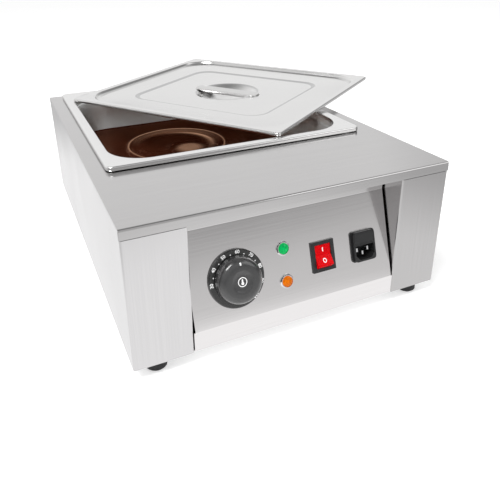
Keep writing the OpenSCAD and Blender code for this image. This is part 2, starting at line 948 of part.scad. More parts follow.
module inlet_housing() {
    color("#202020") on_panel(inlet_x, socket_s) difference() {
        union() {
            rotate([90, 0, 0]) linear_extrude(inlet_out) inlet_outline();
            rotate([90, 0, 0]) linear_extrude(inlet_flange_t) {
                round_rect(inlet_flange_w, inlet_flange_l, inlet_corner_r);
            }
            translate([-inlet_body_w / 2, -slab, -inlet_body_l / 2]) {
                cube([inlet_body_w, inlet_body_d + slab, inlet_body_l]);
            }
        }
        translate([0, cavity_d - inlet_out, 0]) rotate([90, 0, 0]) linear_extrude(cavity_d + over) cavity_outline();
        pin_blades(run_gap);
        translate([-drawer_w / 2 - fit, -inlet_out - over, drawer_z - drawer_l / 2 - fit]) {
            cube([drawer_w + 2 * fit, drawer_d + over + fit, drawer_l + 2 * fit]);
        }
        translate([-drawer_face_w / 2 - fit, -inlet_out - over, drawer_z - drawer_face_l / 2 - fit]) {
            cube([drawer_face_w + 2 * fit, drawer_face_t + over, drawer_face_l + 2 * fit]);
        }
    }
}

module inlet_pins() {
    color("silver") on_panel(inlet_x, socket_s) pin_blades(0);
}

module fuse_drawer() {
    color("#2a2a2a") on_panel(inlet_x, socket_s) translate([0, -inlet_out, drawer_z]) difference() {
        union() {
            translate([-drawer_face_w / 2, 0, -drawer_face_l / 2]) cube([drawer_face_w, drawer_face_t, drawer_face_l]);
            translate([-drawer_w / 2, 0, -drawer_l / 2]) cube([drawer_w, drawer_d, drawer_l]);
        }
        translate([-fuse_r - fit, 2 * drawer_face_t, -fuse_r - fit]) {
            cube([2 * (fuse_r + fit), fuse_l + 2 * fit, drawer_l]);
        }
    }
}

module fuse() {
    color("lightblue") on_panel(inlet_x, socket_s) {
        translate([0, 2 * drawer_face_t + fit - inlet_out, drawer_z]) inward(fuse_l, fuse_r);
    }
}

// Terminal block and wires on the base plate

module block_places() {
    for (i = [0 : block_ways - 1]) {
        translate([block_x + (i - (block_ways - 1) / 2) * block_w / block_ways, block_y, floor_z]) children();
    }
}

module terminal_block() {
    color("ivory") difference() {
        translate([block_x - block_w / 2, block_y - block_d / 2, floor_z]) cube([block_w, block_d, block_h]);
        block_places() {
            translate([0, 0, block_h / 2]) cylinder(h = block_h, r = block_screw_r + run_gap);
            for (y = [-block_d / 2 - over, block_d / 4]) {
                translate([0, y, block_h / 4]) inward(block_d / 4 + over, wire_r + run_gap);
            }
        }
    }
}

module terminal_screws() {
    color("silver") block_places() translate([0, 0, block_h / 2]) cylinder(h = block_h / 4, r = block_screw_r);
}

// Each wire runs from a tab to the terminal block: four come from the panel in front of it
// and two go on behind it to the element's ends
module wiring() {
    way_z = floor_z + block_h / 4;
    function way(i, y) = [block_x + (i - (block_ways - 1) / 2) * block_w / block_ways, block_y + y, way_z];
    function entry(i) = way(i, -block_d / 4);
    function leaving(i) = entry(i) - [0, block_d / 2 + (i + 1) * wire_bend, 0];
    pin_s = socket_s + cavity_low + cavity_l / 2;
    tab_y = inlet_body_d + tab_l;
    inlet_l_tab = panel_point(inlet_x - pin_pitch / 2, tab_y, pin_s + pin_drop / 2);
    inlet_n_tab = panel_point(inlet_x + pin_pitch / 2, tab_y, pin_s + pin_drop / 2);
    switch_tab = panel_point(switch_x - switch_w / 4, switch_d + tab_l, socket_s + switch_l / 4);
    stat_side = panel_point(dial_x + stat_w / 2, sheet + stat_d / 2, dial_s - stat_h / 4);
    reach = [0, 2 * wire_bend, 0];
    square = panel_point(0, 2 * wire_bend, 0) - panel_point(0, 0, 0);
    color("firebrick") {
        tube([inlet_n_tab, inlet_n_tab + square, leaving(3), entry(3)], wire_r, wire_bend);
        tube([inlet_l_tab, inlet_l_tab + square, leaving(2), entry(2)], wire_r, wire_bend);
        tube([switch_tab, switch_tab + square, leaving(1), entry(1)], wire_r, wire_bend);
        tube([stat_side, stat_side + [2 * wire_bend, 0, 0], leaving(0), entry(0)], wire_r, wire_bend);
        for (side = [-1, 1]) {
            element_tab = [side * element_leg, tank_front - sheet - element_tail - bead_l - tab_l, element_z];
            back = way(side < 0 ? 0 : block_ways - 1, block_d / 2 + reach[1]);
            tube([
                element_tab,
                element_tab - reach,
                back + [side * 4 * wire_bend, 0, 0],
                back,
                back - [0, block_d / 4 + reach[1], 0]
            ], wire_r, wire_bend);
        }
    }
}

// Fixings and feet

module case_screws() {
    color("silver") back_screw_places() translate([0, over / 2 + 2 * sheet, 0]) {
        inward(screw_head_t / 2, screw_head_r);
        outward(case_screw_l, screw_r - screw_gap);
    }
}

module foot_places() {
    for (x = [-1, 1], y = [-1, 1]) {
        translate([x * (half_w - foot_inset_x), y * (half_d - foot_inset_y), 0]) children();
    }
}

module foot(x, y) {
    color("#181818") translate([x * (half_w - foot_inset_x), y * (half_d - foot_inset_y), 0]) {
        rotate_extrude() polygon([
            [screw_r + screw_gap, foot_recess_h],
            [screw_head_r + screw_gap, foot_recess_h],
            [screw_head_r + screw_gap, 0],
            [foot_r - foot_taper, 0],
            [foot_r, foot_taper],
            [foot_r, foot_h + sheet],
            [screw_r + screw_gap, foot_h + sheet]
        ]);
    }
}

module foot_front_left() foot(-1, -1);

module foot_front_right() foot(1, -1);

module foot_back_left() foot(-1, 1);

module foot_back_right() foot(1, 1);

module foot_screws() {
    color("silver") foot_places() translate([0, 0, foot_recess_h - screw_head_t]) {
        cylinder(h = screw_head_t, r = screw_head_r);
        cylinder(h = floor_z + nut_t - foot_recess_h + screw_head_t, r = screw_r);
    }
}

module foot_nuts() {
    color("silver") foot_places() translate([0, 0, floor_z]) difference() {
        hex(nut_af, nut_t);
        translate([0, 0, -over]) cylinder(h = nut_t + 2 * over, r = screw_r + run_gap);
    }
}

// Pan and its contents

// The tub's outer or inner form: the lean of the walls and a rounded floor. grow is the
// sheet's thickness on the outside and zero on the inside.
module tub(grow, depth) {
    lean = pan_draft * (1 - pan_floor_r / depth);
    lift = grow > 0 ? 0 : over;
    hull() {
        translate([0, 0, lift - slab]) {
            round_slab(open_w + 2 * grow, open_l + 2 * grow, pan_corner_r + grow);
        }
        for (i = [0 : floor_steps]) {
            a = 90 * i / floor_steps;
            drop = depth + grow - (pan_floor_r + grow) * (1 - sin(a));
            inset = lean + pan_floor_r * (1 - cos(a)) - grow * cos(a);
            translate([0, 0, -drop]) {
                round_slab(open_w - 2 * inset, open_l - 2 * inset, pan_corner_r - lean / 2 + grow * cos(a));
            }
        }
    }
}

module food_pan() {
    color("whitesmoke") translate([pan_x, pan_y, pan_top]) difference() {
        union() {
            translate([0, 0, -pan_sheet]) linear_extrude(pan_sheet) round_rect(pan_w, pan_l, rim_corner_r);
            translate([0, 0, -rim_h]) linear_extrude(rim_h) difference() {
                round_rect(pan_w, pan_l, rim_corner_r);
                round_rect(pan_w - 2 * pan_sheet, pan_l - 2 * pan_sheet, rim_corner_r - pan_sheet);
            }
            tub(pan_sheet, pan_depth - pan_sheet);
        }
        tub(0, pan_depth - pan_sheet);
    }
}

// The surface has rings round a soft middle mound, as when it has just been stirred
function ripple(r, span) = swirl_h * cos(360 * r / swirl_pitch) * (1 - pow(r / span, 2));

module chocolate() {
    span = min(open_w, open_l) / 2 - pan_draft - rim_w;
    level = pan_sheet + chocolate_h - pan_depth;
    color("#3a1a10") translate([pan_x, pan_y, pan_top]) difference() {
        tub(-fit, pan_depth - pan_sheet);
        translate([0, 0, level]) rotate_extrude() polygon(concat(
            [for (i = [0 : swirl_steps]) let (r = span * i / swirl_steps) [r, ripple(r, span)]],
            [[pan_l, 0], [pan_l, pan_depth], [0, pan_depth]]
        ));
    }
}

// Lid

// Everything on the lid is about the middle of its border's top
module on_lid() {
    translate([lid_x, lid_y, pan_top + lid_z]) rotate([0, 0, lid_turn]) rotate([lid_lean, 0, 0]) children();
}

// The hollow above the lid's tray, or with grow the outside of the tray's sheet
module tray(grow) {
    step_in = lid_border + lid_step / 2;
    flat_in = lid_border + lid_slope_w;
    edge_r = pan_corner_r;
    w = pan_l;
    l = pan_w;
    lift = grow > 0 ? 0 : over;
    hull() {
        translate([0, 0, lift - slab]) {
            round_slab(w - 2 * lid_border + 2 * grow, l - 2 * lid_border + 2 * grow, edge_r + grow);
        }
        translate([0, 0, -lid_step - grow]) {
            round_slab(w - 2 * step_in + 2 * grow, l - 2 * step_in + 2 * grow, edge_r + grow);
        }
        translate([0, 0, -lid_step - lid_fall - grow]) {
            round_slab(w - 2 * flat_in, l - 2 * flat_in, edge_r / 2);
        }
    }
}

module dish(grow) {
    floor_z0 = -lid_step - lid_fall;
    ball_r = (dish_r * dish_r + dish_depth * dish_depth) / 2 / dish_depth;
    intersection() {
        translate([0, 0, floor_z0 + ball_r - dish_depth]) sphere(ball_r + grow, $fn = ball_fn);
        translate([0, 0, floor_z0 - dish_depth - over - grow]) cylinder(h = dish_depth + over + grow, r = dish_r + over);
    }
}

module lid() {
    color("whitesmoke") on_lid() difference() {
        union() {
            translate([0, 0, -pan_sheet]) linear_extrude(pan_sheet) round_rect(pan_l, pan_w, lid_corner_r);
            translate([0, 0, -lid_skirt]) linear_extrude(lid_skirt) difference() {
                round_rect(pan_l, pan_w, lid_corner_r);
                round_rect(pan_l - 2 * pan_sheet, pan_w - 2 * pan_sheet, lid_corner_r - pan_sheet);
            }
            tray(pan_sheet);
            dish(pan_sheet);
        }
        tray(0);
        dish(0);
        translate([0, 0, -lid_step - lid_fall - slab]) cylinder(h = lid_step + lid_fall + over, r = dish_r - slab);
    }
}

// A strap across the dish with folded edges, and a welded tab at each end
module lid_handle() {
    seat = -lid_step - lid_fall + slab;
    fold_l = 2 * (dish_r - strap_short);
    color("white") on_lid() translate([0, 0, seat]) {
        translate([-dish_r - strap_tab, -strap_w / 2, 0]) cube([2 * (dish_r + strap_tab), strap_w, strap_t]);
        for (y = [-strap_w / 2, strap_w / 2 - strap_t]) {
            translate([-fold_l / 2, y, -strap_fold]) cube([fold_l, strap_t, strap_fold + slab]);
        }
    }
}

left_side_panel();
right_side_panel();
top_deck();
back_panel();
base_plate();
control_panel();
water_tank();
insulation();
heating_element();
element_glands();
element_nuts();
element_terminals();
thermostat_body();
thermostat_capillary();
bulb_clip();
dial_ring();
knob();
knob_shaft();
lamp_bezels();
green_lens();
orange_lens();
lamp_nuts();
switch_frame();
rocker_button();
switch_terminals();
inlet_housing();
inlet_pins();
fuse_drawer();
fuse();
terminal_block();
terminal_screws();
wiring();
case_screws();
foot_front_left();
foot_front_right();
foot_back_left();
foot_back_right();
foot_screws();
foot_nuts();
food_pan();
chocolate();
lid();
lid_handle();
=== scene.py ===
# %% [markdown]
# # An electric chocolate melting pot
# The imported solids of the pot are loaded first. They carry the sizes and the motion, so every
# new surface in this lesson takes its place from them. Lengths are worked out in millimetres
# and scaled to metres at the very end of each piece.

# %% Load the frame
import math

import bpy
import numpy as np
from mathutils import Matrix, Vector


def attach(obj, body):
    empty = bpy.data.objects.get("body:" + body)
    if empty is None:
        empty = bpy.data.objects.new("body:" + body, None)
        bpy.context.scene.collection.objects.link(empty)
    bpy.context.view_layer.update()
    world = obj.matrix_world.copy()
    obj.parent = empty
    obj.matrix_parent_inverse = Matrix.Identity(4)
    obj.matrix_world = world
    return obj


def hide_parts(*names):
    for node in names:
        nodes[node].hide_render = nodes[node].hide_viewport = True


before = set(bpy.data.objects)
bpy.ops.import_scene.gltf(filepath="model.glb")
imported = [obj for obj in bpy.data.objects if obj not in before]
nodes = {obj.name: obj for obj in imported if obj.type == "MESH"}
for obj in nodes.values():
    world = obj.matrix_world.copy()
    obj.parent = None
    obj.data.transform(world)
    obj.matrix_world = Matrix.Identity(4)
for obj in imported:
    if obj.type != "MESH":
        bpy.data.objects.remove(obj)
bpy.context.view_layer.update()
MM = 0.001


# %% [markdown]
# ## Where things stand
# Two places are used again and again: the sloped control panel, and the lid that lies askew.
# Each gets a small function that turns local millimetres into millimetres of the whole pot.

# %% Frames of the panel and of the lid
STRIP_H = 23.5
PANEL_TOP = 121.0
PANEL_RECESS = 30.0
FOOT_H = 13.0
HALF_W = 183.0
HALF_D = 249.0
DECK_Z = 166.0
RIM_H = 6.0
LID_OVER_RIM = 8.1
SLOPE = math.atan2(PANEL_RECESS, PANEL_TOP - STRIP_H)
ACROSS = np.array([1.0, 0.0, 0.0])
OUT = np.array([0.0, -math.cos(SLOPE), math.sin(SLOPE)])
UP_SLOPE = np.array([0.0, math.sin(SLOPE), math.cos(SLOPE)])


def on_panel(x, s, across, up, out):
    """Point of the panel at x from the left side and s up the slope, plus local steps:
    across to the right, up along the slope and out of the panel."""
    foot = np.array([x - HALF_W, -HALF_D, FOOT_H + STRIP_H]) + s * UP_SLOPE
    across, up, out = np.broadcast_arrays(across, up, out)
    return (foot + across[..., None] * ACROSS + up[..., None] * UP_SLOPE
            + out[..., None] * OUT)


PAN_X, PAN_Y, PAN_TOP = -3.0, 59.5, DECK_Z + RIM_H
LID_X, LID_Y, LID_Z = 78.5, 129.5, PAN_TOP + LID_OVER_RIM
LID_TURN = math.radians(-55.0)
LID_LEAN = math.radians(1.2)
LID_SPIN = np.array(Matrix.Rotation(LID_TURN, 3, "Z") @ Matrix.Rotation(LID_LEAN, 3, "X"))


def on_lid(points):
    """Local points about the middle of the lid's border, leaned, turned and put in place."""
    return np.asarray(points) @ LID_SPIN.T + np.array([LID_X, LID_Y, LID_Z])


print("panel slope", round(math.degrees(SLOPE), 2), "degrees")


# %% [markdown]
# ## From numbers to a mesh
# A surface is a grid of points. Neighbours in the grid make one four-sided face, so the list
# of faces comes from four shifted copies of one table of numbers.

# %% Mesh helpers
def placed(name, data):
    """An object at the origin, put into the scene."""
    piece = bpy.data.objects.new(name, data)
    bpy.context.scene.collection.objects.link(piece)
    return piece


def add_mesh(name, points, faces, smooth=True):
    """A mesh object at the origin from points in millimetres and a list of faces."""
    mesh = bpy.data.meshes.new(name)
    mesh.from_pydata((np.asarray(points, float) * MM).tolist(), [], faces)
    mesh.validate()
    mesh.polygons.foreach_set("use_smooth", [smooth] * len(mesh.polygons))
    mesh.update()
    print(name, len(mesh.polygons), "faces")
    return placed(name, mesh)


def grid_faces(rows, columns, round_rows=False, round_columns=True, start=0):
    """Faces between neighbours of a rows by columns grid, closed round where asked."""
    table = np.arange(rows * columns).reshape(rows, columns) + start
    if round_rows:
        table = np.vstack([table, table[:1]])
    if round_columns:
        table = np.hstack([table, table[:, :1]])
    corners = (table[:-1, :-1], table[:-1, 1:], table[1:, 1:], table[1:, :-1])
    return np.stack(corners, -1).reshape(-1, 4).tolist()


def cap_faces(ring_start, columns, pole, flip):
    """Triangles from one ring of points to a single pole."""
    here = np.arange(columns) + ring_start
    there = np.roll(here, -1)
    pair = (there, here) if flip else (here, there)
    return np.stack([np.full(columns, pole), pair[0], pair[1]], -1).tolist()


def skin(name, rings, first_pole=None, last_pole=None, smooth=True):
    """A closed skin through rings of equal length, from one pole to the other."""
    rings = np.asarray(rings, float)
    rows, columns = rings.shape[:2]
    points = rings.reshape(-1, 3)
    faces = grid_faces(rows, columns, round_rows=first_pole is None)
    if first_pole is not None:
        points = np.vstack([points, first_pole, last_pole])
        faces += cap_faces(0, columns, rows * columns, flip=True)
        faces += cap_faces((rows - 1) * columns, columns, rows * columns + 1, flip=False)
    return add_mesh(name, points, faces, smooth)


def outwards(piece):
    """Turns all faces of a closed piece to the outside, by the sign of its volume."""
    mesh = piece.data
    mesh.calc_loop_triangles()
    points = np.zeros(len(mesh.vertices) * 3)
    mesh.vertices.foreach_get("co", points)
    points = points.reshape(-1, 3)
    corners = np.zeros(len(mesh.loop_triangles) * 3, int)
    mesh.loop_triangles.foreach_get("vertices", corners)
    a, b, c = points[corners.reshape(-1, 3)].transpose(1, 0, 2)
    if np.einsum("ij,ij->i", a, np.cross(b, c)).sum() < 0:
        mesh.flip_normals()
    return piece


# %% [markdown]
# ## Outlines and profiles
# Pressed catering pans and lids are one idea: a profile carried round a rounded rectangle.
# Each ring of the skin is a rounded rectangle with its own inset, corner radius and height.

# %% Rounded rectangles and arcs
CORNER_STEPS = 14
EDGE_STEPS = 10


def rounded(half_w, half_l, radius):
    """Points of a rounded rectangle: four quarter circles, with evenly spaced points on the
    straight stretches between them."""
    turn = np.linspace(0, math.pi / 2, CORNER_STEPS)
    stretch = np.linspace(0, 1, EDGE_STEPS + 2)[1:-1, None]
    arcs = []
    for quarter, (sx, sy) in enumerate(((1, 1), (-1, 1), (-1, -1), (1, -1))):
        angle = turn + quarter * math.pi / 2
        centre = np.array([sx * (half_w - radius), sy * (half_l - radius)])
        arcs.append(centre + radius * np.stack([np.cos(angle), np.sin(angle)], -1))
    parts = []
    for quarter in range(4):
        begin, end = arcs[quarter][-1], arcs[(quarter + 1) % 4][0]
        parts += [arcs[quarter], begin + (end - begin) * stretch]
    return np.vstack(parts)


def arc(centre_d, centre_z, radius, start, stop, steps=6):
    """Profile points on a circle in the plane of inset and height, angles in degrees."""
    angle = np.radians(np.linspace(start, stop, steps))
    return [(centre_d + radius * math.cos(t), centre_z + radius * math.sin(t)) for t in angle]


def pressed(half_w, half_l, profile, corner):
    """Rings of a pressed shape: the profile gives inset and height, and corner(inset) the
    radius."""
    rings = []
    for inset, height in profile:
        outline = rounded(half_w - inset, half_l - inset, corner(inset))
        rings.append(np.column_stack([outline, np.full(len(outline), height)]))
    return np.array(rings)


def revolve(profile, x, s, steps=96):
    """Rings of a turned shape on the panel: radius and height of each profile point go once
    round the axis that stands out of the panel."""
    angle = np.linspace(0, 2 * math.pi, steps, endpoint=False)
    return np.array([
        on_panel(x, s, radius * np.cos(angle), radius * np.sin(angle), height)
        for radius, height in profile
    ])


print("outline points:", len(rounded(10, 10, 2)))


# %% [markdown]
# ## Finishes
# Each finish is a small tree of nodes. Noise on object coordinates gives cloudiness and
# grain, and stays with the piece when it moves. Steel sheet is rolled and brushed, so its
# noise is drawn out along one axis: long in that direction and very fine across it. Two
# helpers build the trees: one makes a node, the other fills its inputs.

# %% Finish helpers
NOISE_LOW, NOISE_HIGH = 0.3, 0.7
CLOUD_SCALE = 9.0
MOTTLE_SCALE = 40.0
GLOSS_SPREAD = 0.03
GRAIN_SPREAD = 0.04
COAT_ROUGHNESS = 0.13


def new_finish(name):
    """A material with an empty principled shader, and object coordinates to read."""
    material = bpy.data.materials.new(name)
    material.use_nodes = True
    tree = material.node_tree
    return material, tree, tree.nodes["Principled BSDF"], place_of(tree)


def feed(tree, node, inputs):
    """Fills inputs of a node: each gets a value, or is linked to the output of another node."""
    for name, value in inputs.items():
        if isinstance(value, bpy.types.NodeSocket):
            tree.links.new(value, node.inputs[name])
        else:
            node.inputs[name].default_value = value


def new_node(tree, kind, inputs, **settings):
    """A new shader node with its settings and its inputs."""
    node = tree.nodes.new("ShaderNode" + kind)
    for name, value in settings.items():
        setattr(node, name, value)
    feed(tree, node, inputs)
    return node


def place_of(tree):
    """Object coordinates, which stay with a piece when it moves."""
    return new_node(tree, "TexCoord", {}).outputs["Object"]


def noise(tree, place, scale, stretch=(1, 1, 1), detail=3.0):
    """Noise on object coordinates, stretched by different scales along the axes."""
    spread = new_node(tree, "Mapping", {"Vector": place, "Scale": stretch})
    cloud = new_node(tree, "TexNoise", {"Vector": spread.outputs["Vector"], "Scale": scale,
                                        "Detail": detail})
    return cloud.outputs["Fac"]


def between(tree, factor, low, high):
    """A number that follows a noise from low to high. Noise seldom leaves its middle part,
    so that part is stretched."""
    return ramped(tree, factor, low, high, NOISE_LOW, NOISE_HIGH)


def ramped(tree, factor, low, high, start=0.0, stop=1.0):
    """A number that goes from low, where the factor is start, to high, where it is stop."""
    ramp = new_node(tree, "MapRange", {"Value": factor, "From Min": start, "From Max": stop,
                                       "To Min": low, "To Max": high})
    return ramp.outputs["Result"]


def axis_of(tree, place, axis):
    """One coordinate, X, Y or Z, of a place."""
    return new_node(tree, "SeparateXYZ", {0: place}).outputs[axis]


def tinted(tree, factor, dark, light):
    """A colour that follows the factor from dark to light. Each of the two is a colour or the
    output of a node."""
    pair = [(*color, 1) if isinstance(color, tuple) else color for color in (dark, light)]
    mix = new_node(tree, "Mix", {0: factor, 6: pair[0], 7: pair[1]}, data_type="RGBA")
    return mix.outputs[2]


def bumped(tree, shader, height, strength, distance=0.0002):
    """A bump from a height, put on the shader's normal."""
    bump = new_node(tree, "Bump", {"Height": height, "Strength": strength,
                                   "Distance": distance})
    feed(tree, shader, {"Normal": bump.outputs["Normal"]})


def scaled(color, share):
    """A colour made lighter or darker by a share."""
    return tuple(min(1.0, channel * share) for channel in color)


def steel(name, color, rough=0.3, grain=(6, 900, 900), streak=0.05, metallic=1.0):
    """Brushed stainless sheet: fine streaks along the grain in colour, gloss and height, and
    slow cloudiness from handling."""
    material, tree, shader, place = new_finish(name)
    streaks = noise(tree, place, 1.0, grain, 4.0)
    clouds = noise(tree, place, CLOUD_SCALE)
    gloss = new_node(tree, "Math", {
        0: between(tree, streaks, rough - GLOSS_SPREAD, rough + GLOSS_SPREAD),
        1: between(tree, clouds, -GLOSS_SPREAD, GLOSS_SPREAD),
    }, operation="ADD")
    feed(tree, shader, {
        "Base Color": tinted(tree, between(tree, streaks, 0, 1), scaled(color, 1 - streak),
                             scaled(color, 1 + streak)),
        "Roughness": gloss.outputs[0], "Metallic": metallic,
    })
    bumped(tree, shader, streaks, 0.05)
    return material


def moulded(name, color, rough=0.35, scale=900.0, bump=0.15, spread=0.12, coat=0.0,
            metallic=0.0, specular=0.5, glow=0.0):
    """Moulded or cast matter: a fine grain in the surface and a slight mottle in the colour.
    White marks also get a little glow, so that they stay white in the shade."""
    material, tree, shader, place = new_finish(name)
    grain = noise(tree, place, scale)
    mottle = noise(tree, place, MOTTLE_SCALE)
    shade = tinted(tree, between(tree, mottle, 0, 1), scaled(color, 1 - spread),
                   scaled(color, 1 + spread))
    feed(tree, shader, {
        "Base Color": shade, "Metallic": metallic, "Specular IOR Level": specular,
        "Roughness": between(tree, grain, rough - GRAIN_SPREAD, rough + GRAIN_SPREAD),
        "Coat Weight": coat, "Coat Roughness": COAT_ROUGHNESS,
    })
    if glow:
        feed(tree, shader, {"Emission Color": shade, "Emission Strength": glow})
    bumped(tree, shader, grain, bump, 0.0001)
    return material


# %% [markdown]
# The colours below are those of the real surfaces under plain light, except for three sheets.
# The front strip, the wings and the deck are one kind of steel, and each sheet has its own
# grain direction, but the deck, the left side and the right side take lit and shaded copies of
# it.

# %% Finishes of the pot
GRAIN_X, GRAIN_Y, GRAIN_Z = (6, 900, 900), (900, 6, 900), (900, 900, 6)
STEEL = {
    # Painted light and shade: the deck, left side and right side are copies of one steel, each
    # as light as that sheet looks.
    "deck_steel_shaded_copy": ((0.57, 0.56, 0.56), 0.15, GRAIN_X, 0.03),
    "left_steel_lit_copy": ((0.74, 0.73, 0.735), 0.22, GRAIN_Z, 0.03),
    "right_steel_shaded_copy": ((0.56, 0.55, 0.55), 0.22, GRAIN_Z, 0.03),
    "strap_steel": ((0.74, 0.735, 0.73), 0.32, GRAIN_X, 0.03),
    "back_steel": ((0.66, 0.66, 0.66), 0.32, GRAIN_X),
    "base_steel": ((0.5, 0.5, 0.5), 0.4, GRAIN_Y),
    "tank_steel": ((0.5, 0.5, 0.5), 0.3, GRAIN_Z),
    "zinc": ((0.62, 0.63, 0.66), 0.3, (200, 200, 200)),
    "element_tube": ((0.2, 0.21, 0.18), 0.45, (300, 300, 300), 0.2),
    "chrome": ((0.85, 0.85, 0.86), 0.08, (400, 400, 400), 0.02),
    "brass": ((0.72, 0.53, 0.24), 0.3, (300, 300, 300)),
    "copper": ((0.72, 0.4, 0.26), 0.3, (300, 300, 300)),
}
MOULDED = {
    "knob_black": dict(color=(0.055, 0.055, 0.056), rough=0.22, scale=700, bump=0.05, coat=1.0),
    "dial_black": dict(color=(0.026, 0.026, 0.026), rough=0.25, scale=700, bump=0.05,
                       specular=1.0),
    "socket_black": dict(color=(0.024, 0.024, 0.025), rough=0.36, scale=1500, bump=0.1),
    "foot_rubber": dict(color=(0.025, 0.025, 0.027), rough=0.7, bump=0.3),
    "rocker_red": dict(color=(0.88, 0.0, 0.004), rough=0.3, scale=800, bump=0.03, spread=0.05,
                       specular=0.1),
    "mark_white": dict(color=(0.9, 0.9, 0.9), rough=0.5, scale=1200, bump=0.05, spread=0.03,
                       glow=0.5),
    "ceramic": dict(color=(0.83, 0.8, 0.72), rough=0.5, scale=500, bump=0.1),
    "bakelite": dict(color=(0.3, 0.17, 0.09), rough=0.4, scale=600, bump=0.1),
    "wool": dict(color=(0.62, 0.52, 0.26), rough=0.9, scale=260, bump=0.9, spread=0.35),
    "wire": dict(color=(0.45, 0.03, 0.03), rough=0.4, bump=0.05),
}
FINISH = {name: steel(name, *values) for name, values in STEEL.items()}
FINISH.update({name: moulded(name, **values) for name, values in MOULDED.items()})
print(len(FINISH), "finishes")


# %% [markdown]
# A pilot lamp's lens is clear coloured plastic with a faceted inside. The facets show as
# small cells, lighter at their edges, and the lens glows a little even when its lamp is off.

# %% Lens finish
def lens(name, color, glow):
    """Coloured lens: cells from a Voronoi pattern in tint and height, under a clear coat."""
    material, tree, shader, place = new_finish(name)
    cells = new_node(tree, "TexVoronoi", {"Vector": place, "Scale": 420.0}).outputs["Distance"]
    shade = tinted(tree, between(tree, cells, 0, 1), scaled(color, 1.08), scaled(color, 0.85))
    feed(tree, shader, {
        "Base Color": shade, "Emission Color": shade, "Emission Strength": glow,
        "Roughness": 0.2, "Specular IOR Level": 0.12, "Coat Weight": 0.1,
        "Coat Roughness": 0.04,
    })
    bumped(tree, shader, cells, 0.12, 0.0004)
    return material


FINISH["green_lens"] = lens("green_lens", (0.0, 0.46, 0.105), 0.35)
FINISH["orange_lens"] = lens("orange_lens", (0.66, 0.145, 0.0), 0.35)


# %% [markdown]
# Melted chocolate is wet, smooth and very dark, and its highlights are coppery. A part
# metallic shader does that: the dark base stays, and the reflections take its hue.

# %% Chocolate, pan and glass
CHOC_DARK, CHOC_WARM = (0.050, 0.011, 0.005), (0.085, 0.020, 0.008)
# Colour of the painted highlights on the chocolate.
CHOC_HIGHLIGHT = (1.0, 0.60, 0.38)
CHOC_TINT = (1.0, 0.62, 0.42)
# Tone of the painted shade in the lid's creases.
CREASE_SHADE_TONE = (0.55, 0.55, 0.55)
WALL_SHADE_TONE = (0.90, 0.91, 0.90)
WALL_ROUGHER, WALL_METALLIC = 0.22, 0.75
UPRIGHT_SHADE_TONE = (0.56, 0.55, 0.55)


def chocolate_finish():
    """Dark glossy chocolate with slow streaks of a warmer brown, glowing faintly all over.
    Painted
    highlights: where the attribute "stirred" says, the colour is drawn to a pale copper and
    glows more."""
    material, tree, shader, place = new_finish("chocolate")
    streaks = noise(tree, place, 14.0, (1, 1, 1), 2.0)
    dark = tinted(tree, between(tree, streaks, 0, 1), CHOC_DARK, CHOC_WARM)
    highlight_share = new_node(tree, "Attribute", {}, attribute_name="stirred").outputs["Fac"]
    shade = tinted(tree, highlight_share, dark, CHOC_HIGHLIGHT)
    feed(tree, shader, {
        "Base Color": shade, "Emission Color": shade,
        "Emission Strength": ramped(tree, highlight_share, 0.17, 0.9),
        "Roughness": between(tree, streaks, 0.09, 0.16),
        "Metallic": 0.55, "Specular Tint": (*CHOC_TINT, 1),
    })
    bumped(tree, shader, noise(tree, place, 60.0), 0.03, 0.001)
    return material


def glass_finish():
    """Thin clear glass for the fuse, with a faint haze."""
    material, tree, shader, place = new_finish("fuse_glass")
    shade = tinted(tree, noise(tree, place, 300.0), (0.8, 0.86, 0.88), (0.95, 0.97, 0.98))
    feed(tree, shader, {"Base Color": shade, "Roughness": 0.05, "Transmission Weight": 0.8})
    return material


def toned(material, factor, color):
    """Draws a finish's colour towards another one as far as the factor says."""
    tree = material.node_tree
    base = tree.nodes["Principled BSDF"].inputs["Base Color"]
    tree.links.new(tinted(tree, factor, base.links[0].from_socket, color), base)


def lid_finish():
    """The lid's sheet, painted darker in its creases: painted shade. The attribute "crease"
    says where, and how dark."""
    material = steel("lid_steel", (0.80, 0.795, 0.79), 0.2, GRAIN_X, 0.03)
    crease_shade = new_node(material.node_tree, "Attribute", {}, attribute_name="crease_shade")
    toned(material, crease_shade.outputs["Fac"], CREASE_SHADE_TONE)
    return material


def pan_finish():
    """The pan's sheet: bright on the rim, with painted shade down the walls: there it is drawn
    to another tone, rougher and less metallic.
    """
    material = steel("pan_steel", (0.84, 0.835, 0.83), 0.16, GRAIN_X, 0.03)
    tree = material.node_tree
    shader = tree.nodes["Principled BSDF"]
    # Painted shade: below the rim the walls are drawn to another tone, rougher and less
    # metallic.
    down = ramped(tree, axis_of(tree, place_of(tree), "Z"), 0.0, 1.0,
                  (PAN_TOP - 3.0) * MM, (PAN_TOP - 8.0) * MM)
    toned(material, down, WALL_SHADE_TONE)
    gloss = shader.inputs["Roughness"].links[0].from_socket
    rougher = new_node(tree, "Math", {0: down, 1: WALL_ROUGHER, 2: gloss},
                       operation="MULTIPLY_ADD")
    feed(tree, shader, {"Metallic": ramped(tree, down, 1.0, WALL_METALLIC),
                        "Roughness": rougher.outputs[0]})
    return material


def panel_finish():
    """The control panel's sheet. Its narrow standing part, over the slope, is painted darker:
    painted shade under the deck's lip.
    """
    material = steel("panel_steel", (0.86, 0.84, 0.84), 0.15, GRAIN_X, 0.02)
    tree = material.node_tree
    bend = FOOT_H + PANEL_TOP
    upright_shade = ramped(tree, axis_of(tree, place_of(tree), "Z"), 0.0, 1.0, (bend - 1.0) * MM,
                     (bend + 1.0) * MM)
    # Painted shade: the narrow part over the bend is drawn to a darker tone.
    toned(material, upright_shade, UPRIGHT_SHADE_TONE)
    return material


